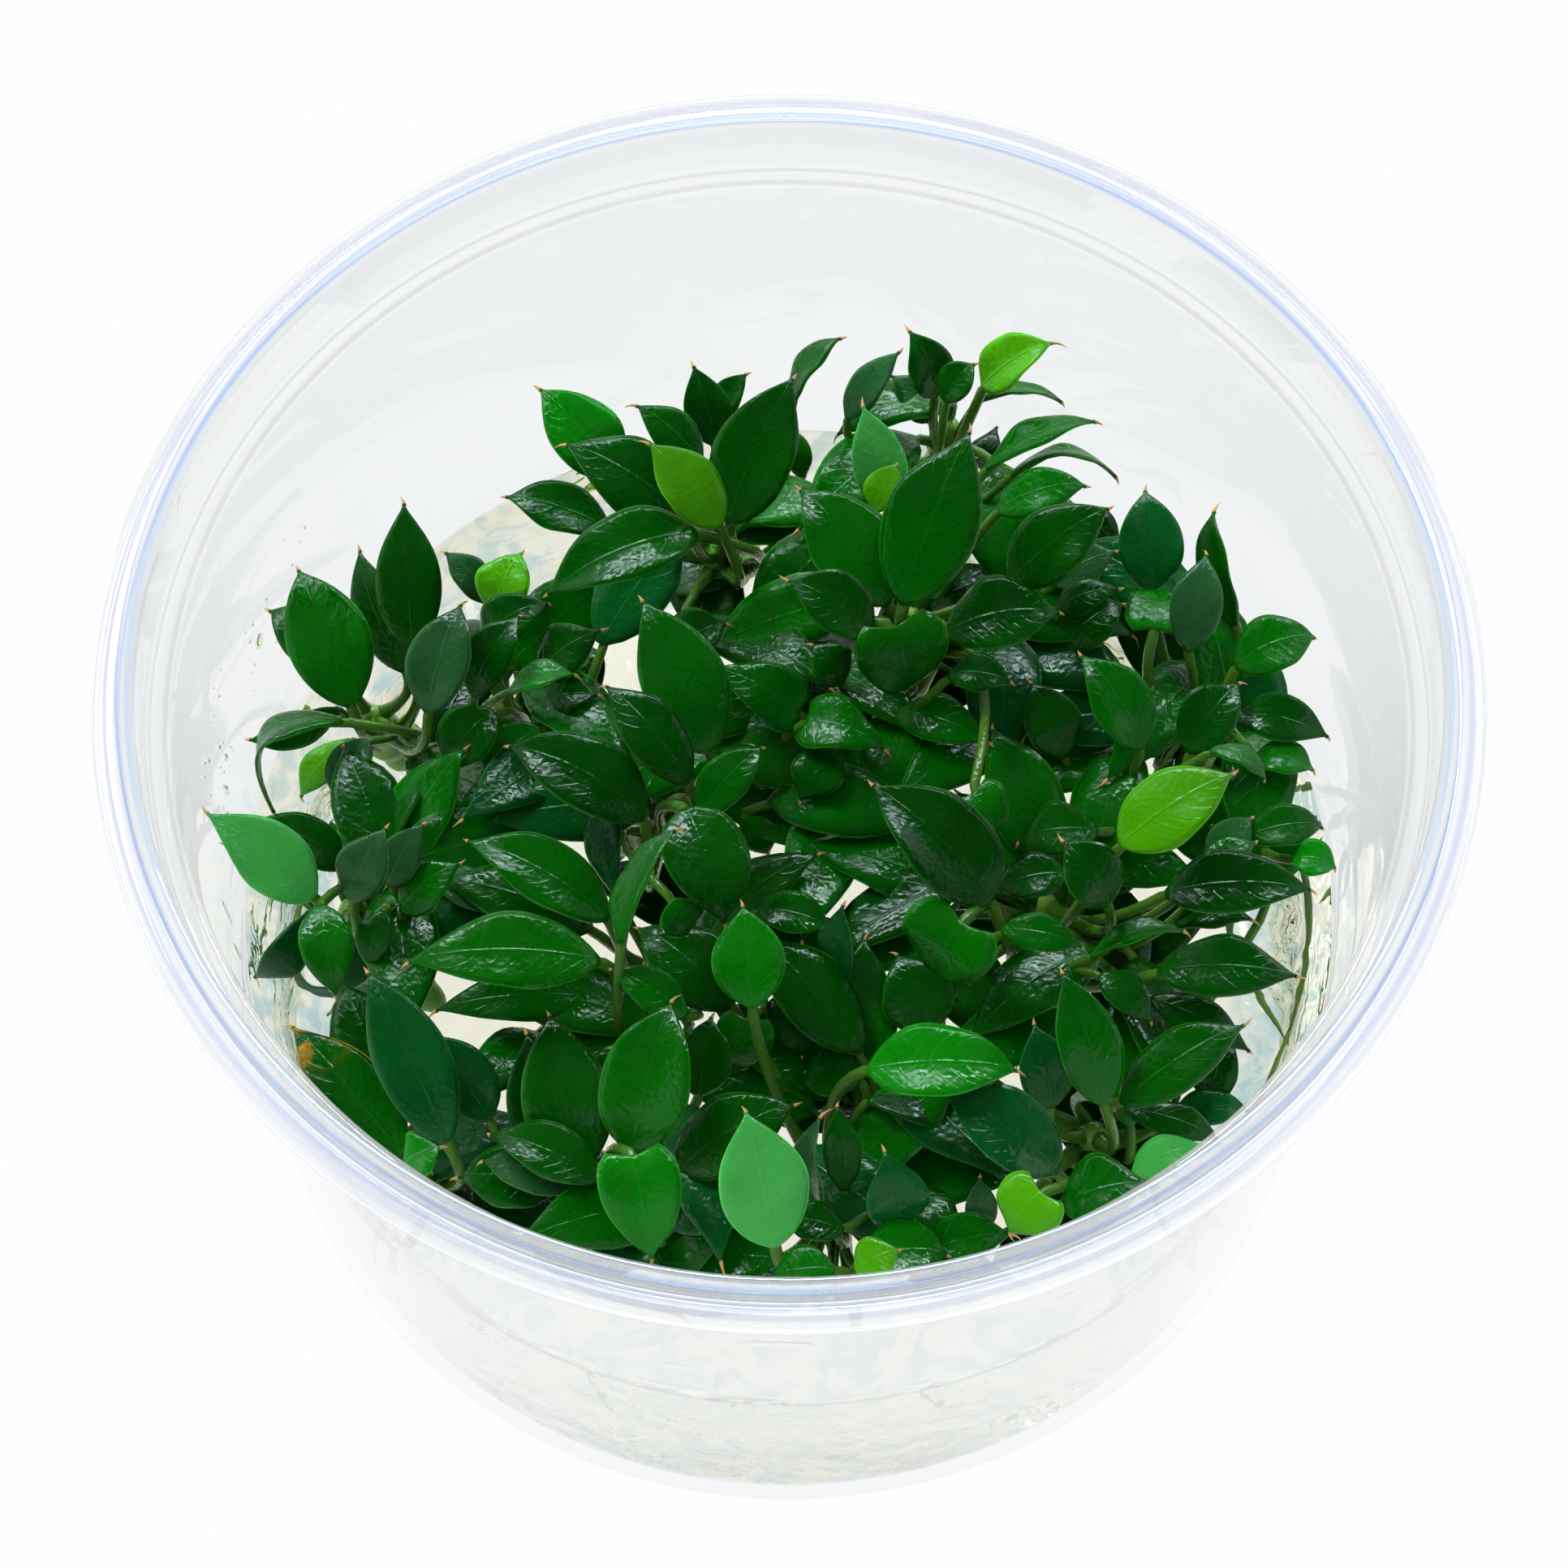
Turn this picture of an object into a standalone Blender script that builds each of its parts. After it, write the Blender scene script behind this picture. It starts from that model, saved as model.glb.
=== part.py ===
"""Dwarf anubias plantlets rooted in a clear nutrient gel, in an open culture cup.

Run with: blender --background --python part.py
The tables below are in millimetres, with the cup's underside at height 0 and its axis at x = y = 0.
"""

import math
from collections import namedtuple
from itertools import product

import bmesh
import bpy
from mathutils import Quaternion, Vector
from mathutils.bvhtree import BVHTree

MM = 0.001
GAP = 0.3

# The cup
CUP_HEIGHT = 63.4
RIM_RADIUS = 50.0
RIM_HEIGHT = 61.9
RIM_SKIRT = 2.1
NECK_RADIUS = 47.6
NECK_WALL = 1.1
WALL_TOP_RADIUS = 45.7
WALL_FOOT_RADIUS = 41.0
WALL_TOP_HEIGHT = 57.0
WALL = 1.0
FLOOR = 1.2
CORNER = 5.0
SIDES = 32

# The gel
GEL_LEVEL = 25.0
MENISCUS = 0.8

# The plantlets
RHIZOME_RADIUS = 1.8
RHIZOME_REACH = 7.5
RHIZOME_DROP = 10.5
ROOT_RADIUS = 0.55
ROOT_SWAY = 0.12
STALK_RADIUS = 0.5
STALK_BEND = 0.45
STALK_SPRING = 0.3
BLADE_THICKNESS = 0.8
BLADE_THINNING = 0.6
BLADE_FOLD = 0.2
BLADE_FULLNESS = 0.75
SUNK = 0.8
POCKET = 0.4

# Leaf places are read on a level plane, seen from one point, and carried along that line of sight
EYE = Vector((-0.4, -190.5, 413.8))
READING_HEIGHT = 42.0

UP = Vector((0.0, 0.0, 1.0))

TONES = {
    "deep": (0.012, 0.085, 0.010),
    "mid": (0.020, 0.150, 0.012),
    "fresh": (0.045, 0.260, 0.020),
    "light": (0.090, 0.300, 0.060),
    "young": (0.200, 0.400, 0.015),
    "grey": (0.080, 0.140, 0.080),
    "dusk": (0.020, 0.090, 0.045),
    "edged": (0.250, 0.180, 0.020),
    "rhizome": (0.260, 0.420, 0.090),
    "gel": (0.900, 0.850, 0.620),
    "cup": (0.860, 0.910, 0.960),
}

# How the blade's width runs: a higher power puts the widest place nearer the middle
FORMS = {"oval": 0.85, "slim": 0.95, "heart": 0.55}

Plantlet = namedtuple("Plantlet", "crown heading roots")
Leaf = namedtuple("Leaf", "plantlet base tip width roll arch form tone spot turn sway", defaults=(0, 0, 0))

# Where a leaf's sections lie along its stalk and its blade
STALK_STEPS = (0.0, 0.5, 1.0)
BLADE_STEPS = (0.12, 0.45, 0.8)

# A leaf that would cross another is moved by the first of these that clears it, in millimetres of height
SHIFTS = (0, -0.6, 0.6, -1.2, 1.2, -1.8, 1.8, -2.4, 2.4, -3.0, 3.0, -3.8, 3.8, -4.6, 4.6, -5.6, 5.6)
SPOTS = (0.06, 0.3, 0.15, 0.45)
TURNS = (0, 35, -35, 70, -70)
SWAYS = (0, 0.3, -0.3)
LEAF_TOP = 61.0

# Each crown is where the leaves spring from; heading is the way the rhizome runs from there, and each
# root has its own heading, how far it strays and how high above the cup's underside it ends
PLANTLETS = {
    "left": Plantlet((-31.5, 7.5, 35), 20, ((215, 7, 9), (110, 7, 7))),
    "left_low": Plantlet((-32.5, -8.5, 35), -30, ((205, 6, 7), (160, 7, 12))),
    "left_back": Plantlet((-21.5, 8.5, 35), -40, ((100, 10, 9),)),
    "back_left": Plantlet((-5.5, 22, 37), 70, ((160, 11, 8),)),
    "back_right": Plantlet((12.5, 33, 37), 250, ((20, 8, 8),)),
    "back_middle": Plantlet((9, 16, 38), 60, ((140, 7, 9),)),
    "middle_left": Plantlet((-8, 0, 37), 160, ((190, 9, 8),)),
    "middle_low": Plantlet((-9.5, -13, 36), 200, ((240, 8, 7),)),
    "middle": Plantlet((19, -8, 37), 250, ((200, 8, 8),)),
    "right": Plantlet((30, 7, 36), 330, ((-50, 5, 12), (-78, 15, 9), (30, 4, 7))),
    "front_right": Plantlet((22, -27, 36), 45, ((-40, 6, 12), (10, 7, 8))),
    "front": Plantlet((3, -31, 36), 80, ((-30, 7, 8), (200, 8, 12))),
    "front_left": Plantlet((-13, -30, 36), 60, ((-100, 6, 8),)),
    "far_left": Plantlet((-26, -30, 36), 80, ((150, 4, 8),)),
}

# The leaves that are pieces of their own
LEAVES = [
    Leaf("left", (-33, 8, 41), (-37.5, 20, 45), 6.4, 0, 1.2, "oval", "mid"),
    Leaf("left", (-28.5, 13, 43), (-29.6, 25.7, 49), 5.0, 0, 1.0, "oval", "deep"),
    Leaf("left", (-27.2, 7.5, 45), (-25, 16.8, 48), 4.8, 0, 1.5, "oval", "grey"),
    Leaf("left", (-33.5, 6.7, 41), (-38.5, -1, 36), 4.8, -50, 4.0, "oval", "mid"),
    Leaf("left_low", (-35.2, -8, 45), (-43.4, -1, 51), 5.2, 10, 0.8, "oval", "light"),
    Leaf("left_back", (-22.4, 16.2, 41), (-20.5, 21.4, 43), 4.4, 0, 1.0, "oval", "young"),
    Leaf("left_back", (-23.8, 9, 43), (-20.5, 15.8, 46), 3.8, 0, 1.4, "oval", "deep"),
    Leaf("back_left", (-13.3, 28, 43), (-19.3, 35.9, 46), 5.6, 0, 1.0, "oval", "fresh"),
    Leaf("back_left", (-8.2, 24.5, 47), (-17.2, 31.2, 51), 6.2, 0, 1.2, "oval", "deep"),
    Leaf("back_left", (-13.9, 23.4, 42), (-21.8, 26.4, 43), 4.4, 0, 0.8, "oval", "deep"),
    Leaf("back_left", (-5.3, 23.7, 50), (-10.7, 31, 54), 4.8, 0, 0.8, "oval", "young"),
    Leaf("back_left", (-7.1, 23, 47), (-18.4, 17.7, 46), 6.0, 0, 2.0, "oval", "mid"),
    Leaf("back_left", (-4.6, 23.9, 48), (0.3, 37.1, 55), 6.4, 0, 1.2, "oval", "deep"),
    Leaf("back_right", (15.2, 36.2, 45), (20.5, 40.3, 49), 4.6, 0, 0.8, "oval", "young"),
    Leaf("back_middle", (15.3, 28.8, 44), (23.8, 33.1, 47), 3.6, 30, 1.0, "slim", "mid"),
    Leaf("back_middle", (8.7, 16.8, 51), (14, 32, 57), 7.4, 0, 1.4, "oval", "mid"),
    Leaf("back_middle", (7.5, 16.8, 48), (0.9, 27.2, 52), 6.6, 0, 1.2, "oval", "mid"),
    Leaf("back_middle", (17, 18.7, 47), (24.6, 25.4, 51), 5.8, 0, 1.0, "oval", "deep"),
    Leaf("back_middle", (8, 14.9, 49), (8.9, 9.2, 44), 7.2, 0, 0.8, "heart", "mid"),
    Leaf("back_middle", (12, 14.3, 46), (20.6, 16.1, 47), 6.0, 0, 1.5, "oval", "mid"),
    Leaf("middle_left", (-7.7, -0.7, 49), (-4.6, -10.3, 47), 6.4, 0, 1.2, "oval", "deep"),
    Leaf("middle_left", (-5.9, 4, 46), (-11.1, 17.2, 52), 6.4, 0, 1.5, "oval", "mid"),
    Leaf("middle_left", (-7.6, 1.5, 47), (-13.8, 9.8, 50), 4.8, 0, 1.5, "oval", "deep"),
    Leaf("middle_left", (-10.7, -1.4, 46), (-21, 4.6, 48), 6.0, 0, 2.0, "oval", "deep"),
    Leaf("middle_low", (-14, -13.3, 49), (-28.2, -13.2, 51), 6.0, 0, 1.6, "oval", "mid"),
    Leaf("middle_low", (-13.4, -9.8, 44), (-24, -3.2, 47), 5.2, 0, 1.6, "oval", "mid"),
    Leaf("front", (-2.7, -17, 47), (-3.4, -8.8, 50), 5.4, 0, 0.8, "oval", "fresh"),
    Leaf("middle", (15, -8.4, 47), (6.3, 1.3, 52), 7.2, 0, 1.5, "oval", "deep"),
    Leaf("middle", (12.9, -10.2, 49), (10.7, -14.6, 45), 7.4, 0, 1.0, "heart", "mid"),
    Leaf("middle", (24.7, -3.7, 51), (33.3, 2.4, 54), 6.0, 0, 1.0, "oval", "young"),
    Leaf("middle", (28, -7.8, 46), (38.8, -7.4, 48), 5.0, 0, 1.4, "oval", "deep"),
    Leaf("middle", (27.2, -14.2, 46), (37.4, -14.5, 47), 5.0, 0, 1.2, "oval", "deep"),
    Leaf("right", (27.7, 18.2, 42), (27.5, 27, 46), 5.0, 0, 1.0, "oval", "dusk"),
    Leaf("right", (33.9, 11.4, 46), (40.1, 14.1, 47), 4.8, 0, 1.4, "oval", "mid"),
    Leaf("front_right", (19.4, -30.2, 44), (11.4, -23.8, 47), 5.8, 0, 1.2, "oval", "dusk"),
    Leaf("front_right", (22.9, -24.8, 46), (20.2, -14.3, 51), 4.8, 0, 1.2, "oval", "mid"),
    Leaf("front_right", (24.2, -24.8, 45), (33.4, -18.3, 48), 4.8, 0, 1.2, "oval", "deep"),
    Leaf("front", (5.8, -22.1, 47), (16.8, -22, 48), 6.0, 0, 1.2, "oval", "fresh"),
    Leaf("front", (-1, -36, 46), (-3.1, -25.4, 51), 6.6, 0, 1.0, "oval", "light"),
    Leaf("front_left", (-11.3, -28.9, 48), (-9.8, -37, 44), 6.0, 0, 1.0, "heart", "fresh"),
    Leaf("front_left", (-15.2, -30.2, 42), (-17.6, -17.5, 47), 6.6, 0, 1.4, "oval", "deep"),
    Leaf("front_left", (-11.3, -28.6, 46), (-8.7, -16.5, 51), 6.8, 0, 1.4, "oval", "mid"),
    Leaf("far_left", (-24.8, -27.8, 43), (-31, -14.2, 48), 5.6, 0, 1.4, "oval", "dusk"),
    Leaf("far_left", (-28, -29, 42), (-36.4, -18.6, 45), 5.6, 0, 1.2, "oval", "edged"),
]

# The smaller leaves, grown onto their plantlet's rhizome as one piece with it
SMALL_LEAVES = [
    Leaf("left", (-34, 11, 36), (-39.6, 16.5, 38), 4.5, 0, 1.0, "oval", "deep"),
    Leaf("left", (-29, 11, 39), (-33, 21.5, 44), 4.2, 35, 0.8, "oval", "deep"),
    Leaf("left", (-31.7, 5, 39), (-34, 0, 37), 3.4, 0, 1.0, "oval", "grey"),
    Leaf("left_low", (-32.4, -8.3, 45), (-30.1, -2.3, 48), 4.0, 0, 1.0, "oval", "grey"),
    Leaf("left_low", (-33.3, -5.5, 40), (-39.8, -1.4, 44), 3.8, 0, 1.0, "oval", "deep"),
    Leaf("left_low", (-34.8, -8.8, 42), (-33.3, -16.2, 40), 4.0, 0, 1.5, "oval", "mid"),
    Leaf("left_low", (-28.6, -9.2, 42), (-24.5, -5.2, 45), 4.0, 0, 1.0, "oval", "mid"),
    Leaf("left_back", (-22.9, 13, 41), (-18.3, 16.9, 43), 4.0, 0, 2.0, "oval", "deep"),
    Leaf("left_back", (-18.8, 10.5, 40), (-14.3, 14.5, 43), 4.6, 0, 1.2, "oval", "deep"),
    Leaf("left_back", (-22.3, 7.5, 40), (-25.9, 2.5, 38), 4.6, 0, 1.0, "oval", "deep"),
    Leaf("middle_left", (-18.7, 6, 41), (-22.9, 1.8, 39), 4.6, 0, 1.0, "oval", "mid"),
    Leaf("left_back", (-18.5, 8, 38), (-14.4, 9, 40), 3.4, 0, 0.8, "oval", "deep"),
    Leaf("back_left", (-5.7, 31, 42), (-7.4, 38, 46), 3.8, 0, 0.6, "oval", "deep"),
    Leaf("back_left", (-6.8, 29.3, 44), (-11.8, 34.6, 47), 3.6, 0, 0.8, "oval", "deep"),
    Leaf("back_right", (11.4, 35.4, 44), (9.5, 41.3, 49), 3.8, 0, 1.0, "oval", "deep"),
    Leaf("back_right", (11, 33.2, 42), (8, 37.2, 45), 3.6, 0, 0.8, "oval", "deep"),
    Leaf("back_middle", (7.6, 25.3, 45), (5.8, 34.3, 50), 4.2, 0, 0.8, "oval", "light"),
    Leaf("back_middle", (16.2, 25, 44), (23, 27.4, 46), 4.0, 0, 1.2, "oval", "mid"),
    Leaf("back_middle", (6.2, 14.2, 44), (0, 19, 47), 4.8, 0, 1.0, "oval", "deep"),
    Leaf("back_middle", (8.2, 7.4, 42), (15.1, 4.9, 43), 4.0, 0, 1.0, "oval", "mid"),
    Leaf("back_middle", (20.3, 18.6, 43), (25, 21.4, 45), 3.8, 0, 0.8, "oval", "grey"),
    Leaf("back_middle", (20.8, 13, 41), (25.5, 17, 43), 4.6, 0, 1.0, "oval", "deep"),
    Leaf("back_middle", (4, 10, 43), (1.8, 13.4, 45), 3.6, 0, 0.8, "oval", "deep"),
    Leaf("middle_left", (-6.6, -1.2, 43), (-2, 4.5, 45), 3.6, 0, 1.0, "oval", "mid"),
    Leaf("back_middle", (0.7, 7.4, 43), (-5.7, 11.3, 45), 5.0, 0, 1.0, "heart", "mid"),
    Leaf("middle_left", (-9, 12, 40), (-4.7, 15.3, 42), 4.6, 0, 1.0, "oval", "deep"),
    Leaf("middle_left", (1.4, 6.7, 44), (7.3, 4.4, 44), 5.0, 0, 1.0, "heart", "mid"),
    Leaf("back_middle", (3.5, 4, 40), (0.8, 0, 39), 4.2, 0, 0.8, "oval", "deep"),
    Leaf("middle_low", (-12.6, -8, 40), (-13.5, 1.8, 44), 3.4, 45, 1.0, "slim", "dusk"),
    Leaf("middle_low", (-14.5, -16.3, 41), (-26, -17.2, 42), 4.0, 0, 1.2, "oval", "deep"),
    Leaf("middle_low", (-12.4, -11.8, 51), (-8.6, -2.3, 54), 4.0, 45, 1.0, "slim", "mid"),
    Leaf("middle_left", (-8.6, -8.3, 46), (-7.5, -11.2, 44), 3.4, 0, 0.5, "oval", "mid"),
    Leaf("middle_low", (-2.2, -9.2, 43), (3.2, -10.7, 43), 3.4, 0, 1.0, "oval", "mid"),
    Leaf("front", (-4.2, -17, 41), (-11.2, -10.3, 43), 6.0, 0, 1.2, "oval", "deep"),
    Leaf("middle_low", (-3, -18, 43), (-3.6, -22.2, 39), 4.4, 0, 0.8, "heart", "mid"),
    Leaf("middle_low", (0.5, -16.5, 40), (1, -21, 38), 4.8, 0, 0.8, "heart", "deep"),
    Leaf("front", (4.3, -15, 42), (4, -8.7, 46), 3.4, 55, 0.8, "slim", "dusk"),
    Leaf("back_middle", (13.7, 0.5, 42), (15.4, -3, 40), 4.4, 0, 0.8, "heart", "mid"),
    Leaf("right", (23, -2.6, 42), (17, -3.4, 41), 4.6, 0, 1.0, "oval", "deep"),
    Leaf("middle", (23.6, -8.6, 46), (20.5, -3.4, 49), 4.6, 0, 1.0, "oval", "deep"),
    Leaf("middle", (20.6, -6.2, 43), (15.5, -7.5, 42), 3.8, 0, 1.0, "oval", "deep"),
    Leaf("front", (10.5, -19, 40), (8, -12.5, 43), 6.0, 0, 1.0, "oval", "deep"),
    Leaf("right", (34, 15, 43), (32.5, 25, 47), 4.0, 55, 1.0, "slim", "deep"),
    Leaf("right", (30.3, 12.8, 45), (32, 21.2, 48), 4.0, 0, 1.0, "oval", "grey"),
    Leaf("right", (33.7, 7.1, 44), (40.6, 5.4, 44), 3.8, 0, 1.2, "oval", "deep"),
    Leaf("right", (27.8, 14.6, 48), (28.3, 18.1, 45), 4.8, 0, 0.8, "heart", "mid"),
    Leaf("right", (26.6, 4.5, 44), (22.2, 12.5, 48), 4.8, 0, 1.2, "oval", "mid"),
    Leaf("right", (20.6, 3.7, 41), (18.4, 10, 44), 4.4, 0, 1.0, "oval", "deep"),
    Leaf("middle", (30, 4.2, 44), (34, 10, 46), 4.4, 0, 1.0, "oval", "deep"),
    Leaf("right", (34.2, -3.1, 45), (40, -2.1, 45), 3.4, 0, 1.0, "oval", "deep"),
    Leaf("front_right", (18.2, -31.8, 48), (15.7, -35, 46), 5.2, 0, 0.6, "heart", "young"),
    Leaf("front_right", (19, -25, 43), (18, -18.4, 47), 4.0, 0, 1.0, "oval", "dusk"),
    Leaf("front_right", (19.8, -32.8, 42), (26, -31, 44), 5.4, 0, 1.0, "oval", "mid"),
    Leaf("front", (5.2, -23, 43), (1, -22, 42), 4.6, 0, 0.8, "oval", "deep"),
    Leaf("front", (8, -34.5, 42), (7, -28.6, 47), 4.6, 0, 1.0, "oval", "dusk"),
    Leaf("front", (2.5, -33.2, 42), (2.1, -25.9, 47), 4.0, 60, 0.8, "slim", "grey"),
    Leaf("front", (-1, -37, 41), (-8.1, -37.6, 40), 4.4, 0, 1.0, "oval", "mid"),
    Leaf("front", (3.2, -37.8, 42), (-1.6, -38.6, 41), 4.0, 0, 0.8, "oval", "mid"),
    Leaf("front", (5.5, -37, 42), (11.5, -36.5, 42), 4.8, 0, 1.0, "oval", "mid"),
    Leaf("front", (4.9, -37.9, 45), (7.9, -36.2, 46), 3.4, 0, 0.6, "oval", "young"),
    Leaf("front", (10, -36.5, 43), (16, -35, 44), 4.0, 0, 0.8, "oval", "mid"),
    Leaf("front_left", (-17.2, -29.6, 39), (-19.2, -19.3, 43), 5.0, 0, 1.0, "oval", "deep"),
    Leaf("front_left", (-13.8, -30.8, 44), (-21.8, -27.1, 45), 4.2, 0, 1.2, "oval", "deep"),
    Leaf("front_left", (-17, -31.5, 40), (-24, -30.5, 41), 5.0, 0, 1.0, "oval", "deep"),
    Leaf("front_left", (-15.5, -31.5, 42), (-22.2, -29.3, 43), 3.6, 0, 1.0, "slim", "grey"),
    Leaf("front_left", (-14, -33, 41), (-17.3, -37.3, 39), 4.4, 0, 0.8, "oval", "young"),
    Leaf("front_left", (-8, -30, 43), (0.4, -24.7, 46), 6.0, 0, 1.2, "oval", "deep"),
    Leaf("front_left", (-6.5, -24, 40), (-5.7, -17.8, 43), 4.2, 0, 0.8, "oval", "deep"),
    Leaf("far_left", (-27.6, -29.6, 46), (-25.3, -28.2, 47), 3.6, 0, 0.5, "oval", "fresh"),
    Leaf("far_left", (-21.8, -26, 41), (-26.6, -19.2, 44), 4.6, 0, 1.0, "oval", "dusk"),
]


def at_height(place):
    """Carries a place read on the level plane along the line of sight to its own height."""
    x, y, height = place
    read = Vector((x, y, READING_HEIGHT))
    return EYE + (read - EYE) * (height - EYE.z) / (READING_HEIGHT - EYE.z)


def along_bend(start, middle, end, t):
    return start * (1 - t) ** 2 + middle * 2 * t * (1 - t) + end * t**2


def blade_frame(leaf):
    """The blade's foot and tip, the direction across it and the one out of its upper face."""
    foot = at_height(leaf.base)
    tip = at_height(leaf.tip)
    along = (tip - foot).normalized()
    level = along.cross(UP).normalized()
    upper = level.cross(along)
    roll = math.radians(leaf.roll)
    across = level * math.cos(roll) + upper * math.sin(roll)
    return foot, tip, across, across.cross(along)


def blade_point(leaf, t):
    """The midrib's place at t, from 0 at the foot to 1 at the tip, with its direction."""
    foot, tip, across, outward = blade_frame(leaf)
    middle = (foot + tip) / 2 + outward * 2 * leaf.arch
    ahead = ((middle - foot) * (1 - t) + (tip - middle) * t).normalized()
    return along_bend(foot, middle, tip, t), ahead


def half_width(leaf, t):
    return leaf.width / 2 * math.sin(math.pi * t ** FORMS[leaf.form]) ** BLADE_FULLNESS


def rhizome_points(plantlet):
    """From the crown down to the tail, which lies half sunk in the gel."""
    crown = at_height(plantlet.crown)
    heading = math.radians(plantlet.heading)
    run = Vector((math.cos(heading), math.sin(heading), 0.0)) * RHIZOME_REACH
    return [
        crown + run * s**1.8 - UP * RHIZOME_DROP * (1 - (1 - s) ** 1.6)
        for s in (0.0, 0.25, 0.5, 0.75, 1.0)
    ]


def rhizome_radii():
    return [RHIZOME_RADIUS * k for k in (0.6, 0.95, 1.0, 0.9, 0.6)]


def root_points(plantlet, number):
    """One root, from inside the rhizome's tail down through the gel."""
    heading, reach, end_height = plantlet.roots[number]
    start = rhizome_points(plantlet)[3] - UP * 0.6
    angle = math.radians(heading)
    out = Vector((math.cos(angle), math.sin(angle), 0.0))
    side = Vector((-out.y, out.x, 0.0))
    points = []
    for s in (0.0, 0.2, 0.45, 0.7, 1.0):
        sway = ROOT_SWAY * reach * math.sin(1.15 * math.tau * s + number)
        drop = (start.z - end_height) * s**1.2
        points.append(start + out * reach * s**0.8 + side * sway - UP * drop)
    return points


def stalk_foot(leaf, clearance):
    """Where the stalk leaves the rhizome; clearance below 0 sinks it in."""
    points = rhizome_points(PLANTLETS[leaf.plantlet])
    radii = rhizome_radii()
    along = leaf.spot * (len(points) - 1)
    low = int(along)
    axis = points[low].lerp(points[low + 1], along - low)
    radius = radii[low] + (radii[low + 1] - radii[low]) * (along - low)
    run = (points[low + 1] - points[low]).normalized()
    out = at_height(leaf.base) - axis
    out = (out - run * out.dot(run)).normalized()
    out.rotate(Quaternion(run, math.radians(leaf.turn)))
    return axis + out * (radius + clearance), out


def leaf_sections(leaf, clearance, spare=0.0):
    """Sections from the stalk's foot to the blade's tip, each as left, top, right and bottom."""
    foot, tip, across, _ = blade_frame(leaf)
    root, out = stalk_foot(leaf, clearance)
    _, ahead = blade_point(leaf, 0.0)
    reach = (foot - root).length
    bend = (foot - ahead * STALK_BEND * reach).lerp(root + out * reach / 2, STALK_SPRING)
    bend += across * leaf.sway * reach
    radius = STALK_RADIUS + spare
    sections = []
    for t in STALK_STEPS:
        centre = along_bend(root, bend, foot, t)
        run = ((bend - root) * (1 - t) + (foot - bend) * t).normalized()
        side = (across - run * across.dot(run)).normalized() * radius
        top = side.cross(run)
        sections.append([centre - side, centre + top, centre + side, centre - top])
    for t in BLADE_STEPS:
        centre, run = blade_point(leaf, t)
        top = across.cross(run)
        half = half_width(leaf, t)
        lift = top * half * BLADE_FOLD
        side = across * (half + spare)
        thick = top * (BLADE_THICKNESS / 2 * (1 - BLADE_THINNING * t) + spare)
        sections.append([centre - side + lift, centre + thick, centre + side + lift, centre - thick])
    return sections + [[tip + (tip - foot).normalized() * spare]]


def keeled(sections):
    """The same sections with three corners, flat on top, for the small leaves."""
    return [section[:1] + section[2:] for section in sections[:-1]] + sections[-1:]


def loft(sections):
    """Points and faces of a closed solid through the sections, the last of which is one point."""
    points = [point for section in sections for point in section]
    sides = len(sections[0])
    faces = [tuple(range(sides))]
    for ring in range(len(sections) - 1):
        first = ring * sides
        for k in range(sides):
            here, beside = first + k, first + (k + 1) % sides
            if len(sections[ring + 1]) == 1:
                faces.append((here, first + sides, beside))
            else:
                faces += [(here, here + sides, beside + sides), (here, beside + sides, beside)]
    return points, faces


def rhizome_hull(plantlet, spare):
    """A six-sided tube about the rhizome, to test the leaves against."""
    points = rhizome_points(plantlet)
    run = (points[-1] - points[0]).normalized()
    side = run.orthogonal().normalized()
    sections = []
    for point, radius in zip(points, rhizome_radii(), strict=True):
        turns = [Quaternion(run, math.tau * k / 6) for k in range(6)]
        sections.append([point + turn @ side * (radius + spare) for turn in turns])
    return BVHTree.FromPolygons(*loft(sections + [[points[-1] + run * spare]]))


def inner_radius(height):
    """The inside of the cup's wall at a height above its underside."""
    slope = (WALL_TOP_RADIUS - WALL_FOOT_RADIUS) / WALL_TOP_HEIGHT
    return WALL_FOOT_RADIUS + slope * height - WALL


def raised(place, shift):
    return (place[0], place[1], place[2] + shift)


def candidates(leaf, number):
    """The leaf as the table has it, then moved along its line of sight, with its stalk led otherwise."""
    spots = SPOTS[number % len(SPOTS) :] + SPOTS[: number % len(SPOTS)]
    for shift, sway, turn, spot in product(SHIFTS, SWAYS, TURNS, spots):
        base, tip = raised(leaf.base, shift), raised(leaf.tip, shift)
        yield leaf._replace(base=base, tip=tip, spot=spot, turn=turn, sway=sway)


def inside_cup(points):
    return all(math.hypot(p.x, p.y) < inner_radius(p.z) - GAP and p.z < LEAF_TOP for p in points)


def settle():
    """The leaves in their places: each takes the first one where it clears the wall, the rhizomes and
    the leaves before it. A small leaf may grow into others of its plantlet where nothing else is free."""
    hulls = {name: rhizome_hull(plantlet, GAP / 2) for name, plantlet in PLANTLETS.items()}
    settled = []
    trees = []
    for number, leaf in enumerate(LEAVES + SMALL_LEAVES):
        small = number >= len(LEAVES)
        others = [hull for name, hull in hulls.items() if name != leaf.plantlet]
        if not small:
            others.append(rhizome_hull(PLANTLETS[leaf.plantlet], 0.0))
        fewest = None
        for moved in candidates(leaf, number):
            points, faces = loft(leaf_sections(moved, -SUNK if small else GAP, GAP / 2))
            if not inside_cup(points):
                continue
            tree = BVHTree.FromPolygons(points, faces)
            if any(tree.overlap(other) for other in others):
                continue
            crossed = [k for k, other in enumerate(trees) if tree.overlap(other)]
            free = all(small and k >= len(LEAVES) and settled[k].plantlet == leaf.plantlet for k in crossed)
            if free and (fewest is None or len(crossed) < fewest):
                fewest, best, best_tree = len(crossed), moved, tree
            if not crossed:
                break
        settled.append(best)
        trees.append(best_tree)
    return settled


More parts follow.
